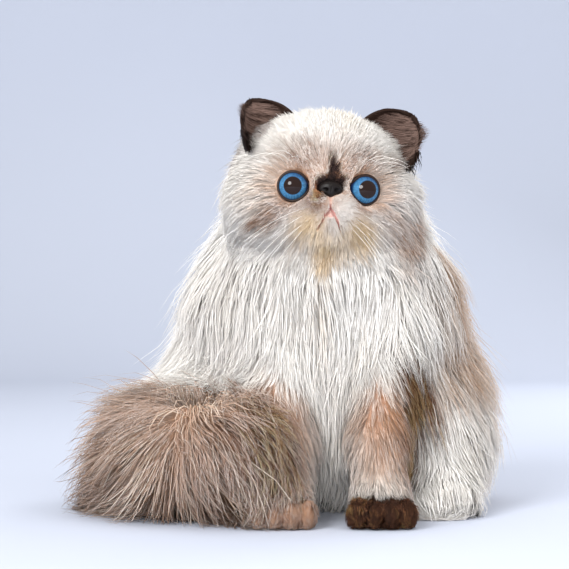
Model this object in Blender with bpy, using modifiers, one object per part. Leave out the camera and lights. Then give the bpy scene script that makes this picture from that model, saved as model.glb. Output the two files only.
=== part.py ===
"""A long-haired, flat-faced cat sitting with its tail round its side, as a life-size still model.

Metres, +Z up. The cat faces -Y, so its own left is +X. The origin is on the floor under the middle of
its seat. Each named part of the body is one closed solid, and touching solids keep a small gap.
"""

import math

import bmesh
import bpy
import numpy as np
from mathutils import Euler, Matrix, Vector
from mathutils.bvhtree import BVHTree

MM = 0.001
GAP = 0.35 * MM
WELD = 0.002 * MM
NUDGE = 0.03 * MM
FLOOR_CLEAR = 0.6 * MM
HEAD_CLEARANCE = 1.2 * MM

# Driving dimensions
HEAD_CENTRE = Vector((-7.6, -97, 247.4)) * MM
HEAD_TURN = math.radians(8)
HEAD_TILT = math.radians(2.7)
EYE_SPACING = 53.2 * MM
EYE_RADIUS = 11.3 * MM
EYE_BULGE = 1.2 * MM
EYE_OPENING = 10.6 * MM
EYE_DEPTH = -41.5 * MM
EYE_HEIGHT = -4.8 * MM
EYE_OUTWARD = 0.16
LID_AHEAD = 4.2 * MM
LID_THICK = 1.9 * MM
EAR_WIDTH = 48 * MM
EAR_HEIGHT = 37 * MM
EAR_WALL = 2.4 * MM
FORELEG_X = (36 * MM, -35 * MM)
HAUNCH_X = (70 * MM, -76 * MM)
HINDFOOT_X = (82 * MM, -82 * MM)
SIDES = ("left", "right")

# Places in millimetres, those of the face in the head's own frame
NOSE = (0, -52.5, -5)
MOUTH_TOP = (0, -55.0, -19)
EAR_BASE = (43, -1, 25.5)
EAR_SHIFT = 2.5
EAR_TURN = ((-10, 36, -20), (-10, 19, -20))
FOREPAW_Y = -142
PLUME_CENTRE = (-98, -112, 84)
TAIL_PATH = [
    (-30, 56, 42),
    (-78, 60, 36),
    (-118, 34, 34),
    (-130, -14, 34),
    (-124, -62, 38),
    (-104, -104, 44),
    (-66, -126, 46),
]
TAIL_RADII = [18, 19, 20, 21, 22, 22, 21]
TAIL_PARTS = (("tail_base", 0, 2), ("tail_middle", 2, 4), ("tail_tip", 4, 6))

# Depth of the coat over the flesh, out to the tips of the locks, and the share of it that is core
COAT = {
    "neck": 24 * MM,
    "torso": 24 * MM,
    "haunch": 24 * MM,
    "foreleg": 9 * MM,
    "paw": 2 * MM,
    "tail": 34 * MM,
}
CORE_SHARE = 0.42
MELT = {
    "head": 5 * MM, "neck": 6 * MM, "torso": 10 * MM, "haunch": 8 * MM, "foreleg": 4 * MM, "tail": 6 * MM
}
ROOT_DEPTH = 5 * MM
LOCK_STATIONS = 3
LOCK_SAG = 2.5
LOCK_TRIES = ((1.0, 1.0), (1.25, 1.0), (0.8, 0.9), (1.5, 0.9), (0.6, 0.75), (1.9, 0.8), (0.5, 0.55), (0.4, 0.4))
SEED = 7

COLOURS = {
    "cream": ((0.80, 0.76, 0.70, 1), 0.85),
    "white": ((0.86, 0.84, 0.80, 1), 0.85),
    "seal": ((0.05, 0.03, 0.025, 1), 0.80),
    "tan": ((0.42, 0.31, 0.24, 1), 0.85),
    "smoke": ((0.30, 0.22, 0.17, 1), 0.85),
    "nose_leather": ((0.02, 0.014, 0.012, 1), 0.45),
    "eye": ((0.10, 0.24, 0.42, 1), 0.08),
}


def clear_scene():
    for thing in list(bpy.data.objects):
        bpy.data.objects.remove(thing)


def collection(name):
    made = bpy.data.collections.new(name)
    bpy.context.scene.collection.children.link(made)
    return made


def finish(colour):
    """The material of that name, made on first use."""
    found = bpy.data.materials.get(colour)
    if found:
        return found
    base, roughness = COLOURS[colour]
    made = bpy.data.materials.new(colour)
    made.use_nodes = True
    shader = made.node_tree.nodes["Principled BSDF"]
    shader.inputs["Base Color"].default_value = base
    shader.inputs["Roughness"].default_value = roughness
    shader.inputs["Metallic"].default_value = 0.0
    return made


def placed(name, mesh, group):
    thing = bpy.data.objects.new(name, mesh)
    group.objects.link(thing)
    return thing


def mesh_of(bm, name="shape"):
    mesh = bpy.data.meshes.new(name)
    bm.to_mesh(mesh)
    bm.free()
    return mesh


def baked(thing):
    """Replaces an object's mesh by what its modifiers make of it."""
    graph = bpy.context.evaluated_depsgraph_get()
    mesh = bpy.data.meshes.new_from_object(thing.evaluated_get(graph))
    thing.modifiers.clear()
    thing.data = mesh
    return thing


# Flesh: a soft form is a list of balls and limbs that melt into one another


class Ball:
    """An ellipsoid, given by its centre and radii in millimetres and its turn in degrees."""

    def __init__(self, centre, radii, turn=(0, 0, 0)):
        self.centre, self.radii, self.turn = Vector(centre), Vector(radii), Vector(turn)

    def mirrored(self):
        turn = (self.turn.x, -self.turn.y, -self.turn.z)
        return Ball((-self.centre.x, self.centre.y, self.centre.z), self.radii, turn)

    def spheres(self, coat):
        turn = Euler([math.radians(a) for a in self.turn])
        size = (self.radii * MM + Vector((coat,) * 3))
        return [Matrix.LocRotScale(self.centre * MM, turn, size)]

    def distance(self, points, coat):
        turn = np.array(Euler([math.radians(a) for a in self.turn]).to_matrix())
        size = np.array(self.radii) * MM + coat
        local = (points - np.array(self.centre) * MM) @ turn
        far = np.linalg.norm(local / size, axis=1)
        slope = np.linalg.norm(local / size**2, axis=1)
        return far * (far - 1) / np.maximum(slope, 1e-9)


class Limb:
    """A round bar from one ball to the next, in millimetres."""

    def __init__(self, start, end, start_radius, end_radius):
        self.ends, self.radii = (Vector(start), Vector(end)), (start_radius, end_radius)

    def mirrored(self):
        flip = [Vector((-p.x, p.y, p.z)) for p in self.ends]
        return Limb(*flip, *self.radii)

    def spheres(self, coat, each=6):
        made = []
        for step in range(each + 1):
            t = step / each
            radius = (self.radii[0] * (1 - t) + self.radii[1] * t) * MM + coat
            centre = self.ends[0].lerp(self.ends[1], t) * MM
            made.append(Matrix.LocRotScale(centre, None, Vector((radius,) * 3)))
        return made

    def distance(self, points, coat):
        a, b = (np.array(p) * MM for p in self.ends)
        t = np.clip((points - a) @ (b - a) / ((b - a) @ (b - a)), 0, 1)
        radius = (self.radii[0] * (1 - t) + self.radii[1] * t) * MM + coat
        return np.linalg.norm(points - a - t[:, None] * (b - a), axis=1) - radius


def limbs(points, radii):
    """Round bars along a path whose radius changes from point to point."""
    return [Limb(*pair, *ends) for pair, ends in zip(zip(points, points[1:]), zip(radii, radii[1:]))]


def with_mirror(flesh):
    return list(flesh) + [piece.mirrored() for piece in flesh]


def surface_distance(flesh, points, coat, melt):
    """How far points lie outside the melted form, in metres."""
    near = np.stack([piece.distance(points, coat) for piece in flesh])
    least = near.min(axis=0)
    return least - melt * np.log(np.exp(-(near - least) / melt).sum(axis=0))


def settled(flesh, points, coat, melt, rounds=4, step=0.2 * MM):
    """Points moved along the form's slope until they lie on its surface."""
    for _ in range(rounds):
        here = surface_distance(flesh, points, coat, melt)
        slope = np.stack(
            [surface_distance(flesh, points + step * axis, coat, melt) - here for axis in np.eye(3)], axis=1
        )
        slope /= np.maximum(np.linalg.norm(slope, axis=1, keepdims=True), 1e-9)
        points = points - np.clip(here, -4 * MM, 4 * MM)[:, None] * slope
    return points


def soft_form(flesh, coat=0.0, voxel=3 * MM, melt=3 * MM, triangles=600):
    """One closed smooth mesh round all the flesh, made thicker by the coat."""
    bm = bmesh.new()
    for piece in flesh:
        for matrix in piece.spheres(coat + melt / 2):
            bmesh.ops.create_icosphere(bm, subdivisions=3, radius=1, matrix=matrix)
    thing = placed("soft_form", mesh_of(bm), workshop)
    remesh = thing.modifiers.new("together", "REMESH")
    remesh.mode = "VOXEL"
    remesh.voxel_size = voxel
    relax = thing.modifiers.new("relax", "SMOOTH")
    relax.factor = 0.5
    relax.iterations = 4
    baked(thing)
    points = np.array([v.co for v in thing.data.vertices])
    points = settled(flesh, points, coat, melt)
    thing.data.vertices.foreach_set("co", points.ravel())
    thing.data.update()
    count = sum(len(face.vertices) - 2 for face in thing.data.polygons)
    fewer = thing.modifiers.new("fewer", "DECIMATE")
    fewer.ratio = min(1.0, triangles / count)
    fewer.use_collapse_triangulate = True
    baked(thing)
    mesh = thing.data
    bpy.data.objects.remove(thing)
    return mesh


def grown(mesh, by=GAP):
    """A copy of a smooth closed mesh, thicker by a small amount all round."""
    bm = bmesh.new()
    bm.from_mesh(mesh)
    bm.normal_update()
    moves = [vertex.normal * by * min(1.35 * vertex.calc_shell_factor(), 4) for vertex in bm.verts]
    for vertex, move in zip(bm.verts, moves):
        vertex.co += move
    return mesh_of(bm)


def largest_body(mesh):
    """Keeps the biggest closed surface of a mesh, walking from face to face over plain edges."""
    bm = bmesh.new()
    bm.from_mesh(mesh)
    left = set(bm.faces)
    best = []
    while left:
        group, front = [], [left.pop()]
        while front:
            face = front.pop()
            group.append(face)
            for edge in face.edges:
                if len(edge.link_faces) == 2:
                    for other in edge.link_faces:
                        if other in left:
                            left.remove(other)
                            front.append(other)
        if len(group) > len(best):
            best = group
    keep = set(best)
    bmesh.ops.delete(bm, geom=[face for face in bm.faces if face not in keep], context="FACES")
    bmesh.ops.dissolve_degenerate(bm, dist=WELD, edges=bm.edges)
    bm.to_mesh(mesh)
    bm.free()


def combined(mesh, tools, operation, solver="EXACT"):
    """Applies one Boolean of a mesh with several closed meshes, and keeps its biggest body."""
    if not tools:
        return mesh
    group = collection("tools")
    for tool in tools:
        thing = placed("tool", tool, group)
        thing.hide_render = True
        thing.display_type = "WIRE"
    body = placed("body", mesh, workshop)
    join = body.modifiers.new("join", "BOOLEAN")
    join.operation = operation
    join.operand_type = "COLLECTION"
    join.collection = group
    join.solver = solver
    baked(body)
    made = body.data
    bpy.data.objects.remove(body)
    for thing in list(group.objects):
        bpy.data.objects.remove(thing)
    bpy.data.collections.remove(group)
    largest_body(made)
    return made


def sound(mesh):
    """Whether a mesh is one closed surface that meets itself nowhere."""
    bm = bmesh.new()
    bm.from_mesh(mesh)
    good = all(edge.is_manifold and edge.is_contiguous for edge in bm.edges)
    good = good and all(vertex.is_manifold for vertex in bm.verts) and bm.calc_volume(signed=True) > 0
    bm.free()
    return good


def nudged(mesh, by, draw):
    """A copy of a mesh with its points moved by very little."""
    made = mesh.copy()
    for vertex in made.vertices:
        vertex.co += Vector(draw.uniform(-by, by, 3))
    return made


def fused(core, locks):
    """One union of a core with its locks, nudged until it gives one sound body."""
    draw = np.random.default_rng(SEED)
    for nudge in range(6):
        for solver in ("EXACT", "MANIFOLD"):
            tools = [nudged(lock, nudge * NUDGE, draw) for lock in locks]
            shape = combined(core.copy(), tools, "UNION", solver)
            if sound(shape):
                return shape
    raise RuntimeError("the locks don't fuse into one sound body")


# Tools that shape the face


def ellipsoid(centre, radii, turn=(0, 0, 0), subdivisions=2):
    matrix = Ball(centre, radii, turn).spheres(0)[0]
    bm = bmesh.new()
    bmesh.ops.create_icosphere(bm, subdivisions=subdivisions, radius=1, matrix=matrix)
    return mesh_of(bm)


def tube(points, radius, flat=1.0, sides=6):
    """A closed tube along points in millimetres, with pointed ends, flattened front to back."""
    path = [Vector(p) * MM for p in points]
    bm = bmesh.new()
    rings = []
    for i, centre in enumerate(path):
        along = (path[min(i + 1, len(path) - 1)] - path[max(i - 1, 0)]).normalized()
        side = along.cross(Vector((0, 1, 0))).normalized()
        front = side.cross(along).normalized()
        share = math.sin(math.pi * (0.12 + 0.76 * i / (len(path) - 1)))
        ring = []
        for k in range(sides):
            angle = 2 * math.pi * k / sides
            out = side * math.cos(angle) + front * math.sin(angle) * flat
            ring.append(bm.verts.new(centre + out * radius * MM * share))
        rings.append(ring)
    for a, b in zip(rings, rings[1:]):
        for k in range(sides):
            j = (k + 1) % sides
            bm.faces.new((a[k], a[j], b[j], b[k]))
    bm.faces.new(rings[0][::-1])
    bm.faces.new(rings[-1])
    bmesh.ops.recalc_face_normals(bm, faces=bm.faces)
    return mesh_of(bm)


def ring(centre, facing, major, minor, flat=1.0, turns=16, sides=5):
    """A torus round a direction, with radii in metres, flattened along that direction."""
    turn = Vector(facing).to_track_quat("Z", "Y")
    bm = bmesh.new()
    loops = []
    for i in range(turns):
        angle = 2 * math.pi * i / turns
        out = Vector((math.cos(angle), math.sin(angle), 0))
        loops.append(
            [
                bm.verts.new(
                    Vector(centre)
                    + turn
                    @ (
                        out * (major + minor * math.cos(2 * math.pi * k / sides))
                        + Vector((0, 0, minor * flat * math.sin(2 * math.pi * k / sides)))
                    )
                )
                for k in range(sides)
            ]
        )
    for i in range(turns):
        a, b = loops[i], loops[(i + 1) % turns]
        for k in range(sides):
            j = (k + 1) % sides
            bm.faces.new((a[k], b[k], b[j], a[j]))
    bmesh.ops.recalc_face_normals(bm, faces=bm.faces)
    return mesh_of(bm)


# Where things are


def head_matrix():
    """Takes the head's own upright, symmetric frame to its turned and tilted place."""
    turn = Euler((0, HEAD_TILT, HEAD_TURN))
    return Matrix.LocRotScale(HEAD_CENTRE, turn, None)


def with_head(mesh):
    """Moves a mesh made in the head's own frame to the head's place."""
    mesh.transform(head_matrix())
    return mesh


def head_flesh():
    middle = [
        Ball((0, 0, 4), (58, 46, 48)),
        Ball((0, -23, 23), (42, 23, 24)),
        Ball((0, -39, 3), (12, 9, 12)),
        Ball((0, -38, -20), (21, 14, 15)),
        Ball((0, -43, -38), (11, 9.5, 9)),
        Ball((0, -28, -34), (20, 18, 14)),
    ]
    pairs = [
        Ball((38, -12, -14), (30, 32, 30)),
        Ball((27, -27, -26), (22, 18, 17)),
        Ball((30, -29, -18), (16, 12, 11)),
        Ball((25, -30, 12), (18, 12, 11)),
        Ball((36, 3, 20), (23, 22, 19)),
        Ball((10.5, -45, -22), (12, 10, 12.5)),
    ]
    return middle + with_mirror(pairs)


def eye_centre(side):
    """Side 0 is the cat's left, at +X, and side 1 its right, in the head's frame."""
    return Vector(((1 - 2 * side) * EYE_SPACING / 2, EYE_DEPTH, EYE_HEIGHT))


def eye_facing(side):
    return Vector(((1 - 2 * side) * EYE_OUTWARD, -1, 0.03)).normalized()


def eyeball(side, radius, bulge, segments):
    """A ball whose front swells by the bulge, as the clear window of an eye does."""
    bm = bmesh.new()
    bmesh.ops.create_uvsphere(bm, u_segments=segments, v_segments=segments // 2, radius=radius)
    for vertex in bm.verts:
        ahead = vertex.co.z / radius
        vertex.co.z += bulge * max(0.0, ahead - 0.5) / 0.5
    turn = eye_facing(side).to_track_quat("Z", "Y")
    bmesh.ops.transform(bm, matrix=Matrix.LocRotScale(eye_centre(side), turn, None), verts=bm.verts)
    return mesh_of(bm)


def build_eye(side):
    return eyeball(side, EYE_RADIUS, EYE_BULGE, 16)


def eye_socket(side):
    return eyeball(side, EYE_RADIUS + 2 * GAP, EYE_BULGE + 2 * MM, 16)


def nose_flesh():
    x, y, z = NOSE
    wings = [Ball((x + 5.0, y + 1.2, z - 0.8), (3.8, 4.0, 3.8))]
    middle = [Ball((x, y, z + 1), (6.8, 5.0, 4.4)), Ball((x, y - 0.2, z - 3), (3.6, 4.2, 3.6))]
    return middle + with_mirror(wings)


def nose_form():
    return soft_form(nose_flesh(), voxel=0.8 * MM, melt=1 * MM, triangles=140)


def build_nose():
    x, y, z = NOSE
    holes = [ellipsoid((x + s * 4.0, y - 4.2, z - 1.0), (1.7, 2.6, 1.2), (0, s * 25, 0), 1) for s in (-1, 1)]
    return combined(nose_form(), holes, "DIFFERENCE")


def build_head(core):
    """The skull and short-haired face, with lids, lips, the line of the mouth and the chin."""
    lids = []
    for side in (0, 1):
        facing = eye_facing(side)
        rim = eye_centre(side) + facing * LID_AHEAD
        lids.append(ring(rim, facing, EYE_OPENING + LID_THICK * 0.5, LID_THICK))
    mesh = combined(core, lids, "UNION")
    x, y, z = MOUTH_TOP
    cuts = [tube([(x, y - 0.5, z + 10), (x, y - 0.5, z + 5), (x, y + 0.5, z - 1)], 1.2, 2.0)]
    for s in (-1, 1):
        line = [(0, 0, 0.5), (2.4, 0, -3.2), (4.6, 0.5, -7.2), (6.8, 1.5, -11.2), (8.6, 3, -15.5)]
        cuts.append(tube([(x + s * a, y + b, z + c) for a, b, c in line], 1.7, 2.6))
    cuts += [eye_socket(0), eye_socket(1), grown(nose_form())]
    return combined(mesh, cuts, "DIFFERENCE")


def build_ear(side):
    """A rounded triangle bent round its height into a cup that opens forwards."""
    columns, rows = 8, 6
    bend_most = math.radians(72)
    bm = bmesh.new()
    bmesh.ops.create_grid(bm, x_segments=columns, y_segments=rows, size=1)
    for vertex in bm.verts:
        across, up = vertex.co.x, (vertex.co.y + 1) / 2
        half = EAR_WIDTH / 2 * (math.sqrt(max(0.0, 1 - up**2.2)) * 0.96 + 0.04)
        bend = across * bend_most
        depth = half * 0.7 * (1 - math.cos(bend)) / (1 - math.cos(bend_most))
        height = up * EAR_HEIGHT * (1 - 0.1 * abs(across) ** 3)
        vertex.co = Vector((half * math.sin(bend) / math.sin(bend_most), -depth, height))
    thing = placed("ear", mesh_of(bm), workshop)
    wall = thing.modifiers.new("wall", "SOLIDIFY")
    wall.thickness = EAR_WALL
    wall.offset = 0
    thing.modifiers.new("triangles", "TRIANGULATE")
    baked(thing)
    x, y, z = EAR_BASE
    lean, open_out, roll = EAR_TURN[side]
    s = 1 - 2 * side
    turn = Euler([math.radians(a) for a in (lean, s * open_out, s * roll)])
    thing.data.transform(Matrix.LocRotScale(Vector((s * x + EAR_SHIFT, y, z)) * MM, turn, None))
    mesh = thing.data
    bpy.data.objects.remove(thing)
    bm = bmesh.new()
    bm.from_mesh(mesh)
    bmesh.ops.recalc_face_normals(bm, faces=bm.faces)
    bm.to_mesh(mesh)
    bm.free()
    return mesh


def neck_flesh():
    return [
        Ball((-1, -60, 193), (66, 50, 32)),
        Ball((-4, -58, 212), (50, 40, 36)),
        Ball((-1, -60, 166), (70, 54, 36)),
    ]


def torso_flesh():
    return [
        Ball((-3, -56, 150), (80, 50, 56)),
        Ball((-3, -30, 158), (78, 52, 50)),
        Ball((-4, -2, 112), (94, 60, 72)),
        Ball((-2, 16, 66), (88, 60, 64)),
        Ball((0, -38, 80), (70, 54, 60)),
        Ball((-2, 4, 34), (72, 56, 38)),
    ]


def haunch_flesh(side):
    x, s = HAUNCH_X[side] / MM, 1 - 2 * side
    return [
        Ball((x, -6, 72), (37, 58, 52)),
        Ball((x + s * 5, -40, 48), (30, 38, 38)),
        Ball((x, 14, 34), (34, 42, 32)),
    ]


def foreleg_flesh(side):
    x = FORELEG_X[side] / MM
    return limbs([(x, -86, 138), (x, -98, 100), (x, -120, 60), (x, -128, 28)], [26, 21, 15, 14])


def paw_flesh(x, y):
    """A paw with four toes, its heel at y."""
    made = [Ball((x, y + 6, 14), (18, 20, 14))]
    for toe in range(4):
        across = (toe - 1.5) * 11.5
        ahead = 5 * math.cos(math.radians((toe - 1.5) * 45))
        made.append(Ball((x + across, y - 13 - ahead, 10), (5.2, 13, 9)))
    return made


def hindfoot_flesh(side):
    x = HINDFOOT_X[side] / MM
    return [Ball((x, -44, 11), (16, 36, 12))] + paw_flesh(x, -78)


def tail_flesh(first, last):
    """The limbs of one length of the tail, run a little past the planes that part it."""
    first, last = max(0, first - 1), min(len(TAIL_PATH) - 1, last + 1)
    return limbs(TAIL_PATH[first : last + 1], TAIL_RADII[first : last + 1])


def block_beyond(point, normal):
    """A large block whose one face passes through the point, on the normal's side."""
    turn = Vector(normal).to_track_quat("Z", "Y")
    bm = bmesh.new()
    bmesh.ops.create_cube(bm, size=1)
    bmesh.ops.translate(bm, vec=(0, 0, 0.5), verts=bm.verts)
    bmesh.ops.transform(bm, matrix=Matrix.LocRotScale(point, turn, Vector((2, 2, 0.6))), verts=bm.verts)
    return mesh_of(bm)


def tail_cuts(first, last):
    """Blocks that end one length of the tail, square to its path at both ends."""
    cuts = []
    for index, way in ((first, -1), (last, 1)):
        if 0 < index < len(TAIL_PATH) - 1:
            here = Vector(TAIL_PATH[index]) * MM
            along = (Vector(TAIL_PATH[index + 1]) - Vector(TAIL_PATH[index - 1])).normalized()
            along.z = 0
            cuts.append(block_beyond(here - along * way * GAP / 2, along * way))
    return cuts


def extent(mesh):
    points = np.array([v.co for v in mesh.vertices])
    return Vector(points.min(0)), Vector(points.max(0))


def meets(mesh, other):
    (low, high), (near, far) = extent(mesh), extent(other)
    return all(near[k] < high[k] and far[k] > low[k] for k in range(3))


class Node:
    """One named part: its form, colour, the coarse form others keep clear of, and its own cuts."""

    def __init__(self, name, colour, mesh, clearance=None, cuts=(), keeps_from=True):
        self.name, self.colour, self.mesh, self.cuts = name, colour, mesh, list(cuts)
        self.clearance = grown(mesh) if clearance is None else clearance
        self.keeps_from = keeps_from

    def core(self, earlier):
        """The form, cut clear of every earlier node and of the floor."""
        tools = list(self.cuts)
        if extent(self.mesh)[0].z < GAP:
            tools.append(block_beyond(Vector((0, 0, 0)), (0, 0, -1)))
        tools += [other.clearance.copy() for other in earlier if meets(self.mesh, other.clearance)]
        return combined(self.mesh.copy(), tools, "DIFFERENCE") if self.keeps_from else self.mesh

    def finish(self, core, locks):
        """Fuses the locks to the core and names the result."""
        shape = fused(core, locks)
        shape.name = self.name
        shape.materials.clear()
        shape.materials.append(finish(self.colour))
        placed(self.name, shape, cat)
        shape.shade_smooth()
        shape.set_sharp_from_angle(angle=math.radians(40))


# Locks of the long coat


class Form:
    """A body part as a distance field, in the model's frame or the head's."""

    def __init__(self, flesh, coat, melt, matrix=None):
        self.flesh, self.coat, self.melt, self.matrix = flesh, coat, melt, matrix

    def local(self, points):
        if self.matrix is None:
            return points
        back = np.array(self.matrix.inverted())
        return points @ back[:3, :3].T + back[:3, 3]

    def away(self, points):
        return surface_distance(self.flesh, self.local(points), self.coat, self.melt)

    def slope(self, points, step=0.3 * MM):
        here = self.away(points)
        rise = np.stack([self.away(points + step * axis) - here for axis in np.eye(3)], axis=1)
        return rise / np.maximum(np.linalg.norm(rise, axis=1, keepdims=True), 1e-9)


def body_forms():
    """The core of each part that locks grow from or have to pass."""
    def depth(kind):
        return COAT[kind] * CORE_SHARE

    forms = {
        "head": Form(head_flesh(), 0.0, MELT["head"], head_matrix()),
        "neck": Form(neck_flesh(), depth("neck"), MELT["neck"]),
        "torso": Form(torso_flesh(), depth("torso"), MELT["torso"]),
        "tail": Form(limbs(TAIL_PATH, TAIL_RADII), depth("tail"), MELT["tail"]),
    }
    for side, word in enumerate(SIDES):
        forms[f"haunch_{word}"] = Form(haunch_flesh(side), depth("haunch"), MELT["haunch"])
        forms[f"foreleg_{word}"] = Form(foreleg_flesh(side), depth("foreleg"), MELT["foreleg"])
        forms[f"forepaw_{word}"] = Form(paw_flesh(FORELEG_X[side] / MM, FOREPAW_Y), COAT["paw"], 1 * MM)
        forms[f"hindfoot_{word}"] = Form(hindfoot_flesh(side), COAT["paw"], 1 * MM)
    return forms


class Coat:
    """How the locks of one node grow. Sizes are metres, and the lie is a function of place."""

    def __init__(self, form, depth, count, length, width, thick, lie, where, stretch=None):
        self.form, self.depth, self.count = form, depth, count
        self.length, self.width, self.thick = length, width, thick
        self.lie, self.where = lie, where
        self.stretch = stretch or (lambda p: 1.0)


def spread_roots(mesh, form, others, coat, draw, tries=2500):
    """Even roots on the part of a core's surface that the coat covers and no other part hides."""
    mesh.calc_loop_triangles()
    corners = np.array([v.co for v in mesh.vertices])[
        np.array([t.vertices for t in mesh.loop_triangles])
    ]
    areas = np.linalg.norm(
        np.cross(corners[:, 1] - corners[:, 0], corners[:, 2] - corners[:, 0]), axis=1
    )
    chosen = corners[draw.choice(len(corners), tries, p=areas / areas.sum())]
    u, v = draw.random((2, tries, 1))
    fold = (u + v) > 1
    u, v = np.where(fold, 1 - u, u), np.where(fold, 1 - v, v)
    points = chosen[:, 0] + u * (chosen[:, 1] - chosen[:, 0]) + v * (chosen[:, 2] - chosen[:, 0])
    keep = np.abs(form.away(points)) < 1.5 * MM
    keep &= np.array([coat.where(p) for p in points])
    for other in others:
        keep &= other.away(points) > ROOT_DEPTH
    points = points[keep]
    if len(points) == 0:
        return points
    picked = [0]
    far = np.linalg.norm(points - points[0], axis=1)
    while len(picked) < min(coat.count, len(points)):
        picked.append(int(far.argmax()))
        far = np.minimum(far, np.linalg.norm(points - points[picked[-1]], axis=1))
    return points[picked]


def surface_up(points, forms):
    """The outward direction of whichever form is nearest to each point."""
    near = np.stack([form.away(points) for form in forms]).argmin(axis=0)
    ups = np.zeros_like(points)
    for index in np.unique(near):
        ups[near == index] = forms[index].slope(points[near == index])
    return ups


def lock_paths(roots, own, others, coat, lengths, lift):
    """Stations along many locks: sunk below the surface, along the lie, and out to the tips."""
    normals = own.slope(roots)
    paths, ups = [roots - normals * ROOT_DEPTH], [normals]
    points = roots + normals * coat.thick * 0.2
    clear = coat.thick * 0.6 + GAP + coat.width**2 * LOCK_SAG
    for step in range(LOCK_STATIONS + 1):
        share = (step + 1) / LOCK_STATIONS
        paths.append(points.copy())
        ups.append(surface_up(points, [own, *others]) if step else normals)
        if step == LOCK_STATIONS:
            break
        out = own.slope(points)
        lie = np.array([coat.lie(p) for p in points])
        lie -= out * (lie * out).sum(axis=1, keepdims=True) * 0.8
        lie /= np.maximum(np.linalg.norm(lie, axis=1, keepdims=True), 1e-9)
        points = points + lie * lengths[:, None] / LOCK_STATIONS
        goal = coat.depth * lift * min(1.0, share**0.8)
        for _ in range(3):
            points = points + own.slope(points) * ((goal - own.away(points)) * 0.8)[:, None]
            for other in others:
                short = np.maximum(clear - other.away(points), 0)
                if short.any():
                    points = points + other.slope(points) * short[:, None]
        points[:, 2] = np.maximum(points[:, 2], coat.thick * (0.8 - 0.4 * share) + GAP)
    return np.stack(paths, axis=1), np.stack(ups, axis=1)


LOCK_SHAPE = ((0.62, 1.0), (0.95, 1.0), (1.0, 0.85), (0.66, 0.6))


def lock_mesh(path, ups, width, thick, grow=0.0):
    """A flat, tapered lock with a low ridge, closed at its root and its tip."""
    bm = bmesh.new()
    loops = []
    for i, (wide, deep) in enumerate(LOCK_SHAPE):
        along = path[i + 1] - path[max(i - 1, 0)]
        along /= np.linalg.norm(along)
        across = np.cross(along, ups[i])
        across /= max(np.linalg.norm(across), 1e-9)
        up = np.cross(across, along)
        half = across * (width * wide / 2 + grow * 2)
        rise, fall = up * (thick * deep * 0.6 + grow * 1.5), up * (thick * deep * 0.4 + grow * 1.5)
        corners = [Vector(path[i] + way) for way in (half - fall, rise, -half - fall)]
        for corner in corners:
            corner.z = max(corner.z, FLOOR_CLEAR - grow)
        loops.append([bm.verts.new(corner) for corner in corners])
    last = path[-1] - path[-2]
    tip = bm.verts.new(Vector(path[-1] + last * grow * 1.5 / np.linalg.norm(last)))
    for a, b in zip(loops, loops[1:]):
        for k in range(3):
            j = (k + 1) % 3
            bm.faces.new((a[k], a[j], b[j]))
            bm.faces.new((a[k], b[j], b[k]))
    for k in range(3):
        bm.faces.new((loops[-1][k], loops[-1][(k + 1) % 3], tip))
    bm.faces.new(loops[0][::-1])
    bmesh.ops.recalc_face_normals(bm, faces=bm.faces)
    return mesh_of(bm)


def tree_of(mesh):
    points = [v.co for v in mesh.vertices]
    return BVHTree.FromPolygons(points, [tuple(face.vertices) for face in mesh.polygons])


def clear_locks(roots, own, others, trees, coat, scales):
    """For each root, the first of a few tries that keeps clear of every other node."""
    locks = [None] * len(roots)
    for lift, share in LOCK_TRIES:
        left = [i for i, lock in enumerate(locks) if lock is None]
        if not left:
            break
        lengths = coat.length * share * scales[left]
        paths, ups = lock_paths(roots[left], own, others, coat, lengths, lift)
        for i, path, up in zip(left, paths, ups):
            width = coat.width * min(0.5 + 0.5 * scales[i], 1.1)
            tree = tree_of(lock_mesh(path, up, width, coat.thick, GAP))
            if not any(tree.overlap(other) for other in trees):
                locks[i] = lock_mesh(path, up, width, coat.thick)
    return [lock for lock in locks if lock is not None]


def head_nodes():
    core = soft_form(head_flesh(), voxel=1.8 * MM, melt=5 * MM, triangles=1400)
    coarse = soft_form(head_flesh(), voxel=2.5 * MM, melt=5 * MM, triangles=560)
    nodes = []
    for side, word in enumerate(SIDES):
        eye = with_head(build_eye(side))
        nodes.append(Node(f"eye_{word}", "eye", eye, with_head(eye_socket(side)), keeps_from=False))
    nose = with_head(build_nose())
    nodes.append(Node("nose", "nose_leather", nose, with_head(grown(nose_form())), keeps_from=False))
    head = with_head(build_head(core))
    nodes.append(Node("head", "cream", head, with_head(grown(coarse, HEAD_CLEARANCE)), keeps_from=False))
    for side, word in enumerate(SIDES):
        nodes.append(Node(f"ear_{word}", "seal", with_head(build_ear(side))))
    return nodes


def limb_nodes():
    nodes = []
    for side, word in enumerate(SIDES):
        x = FORELEG_X[side] / MM
        forepaw = soft_form(paw_flesh(x, FOREPAW_Y), COAT["paw"], 1.6 * MM, 0.7 * MM, 260)
        hindfoot = soft_form(hindfoot_flesh(side), COAT["paw"], 1.6 * MM, 0.7 * MM, 240)
        nodes.append(Node(f"forepaw_{word}", "seal", forepaw))
        nodes.append(Node(f"hindfoot_{word}", "tan", hindfoot))
    return nodes


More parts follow.
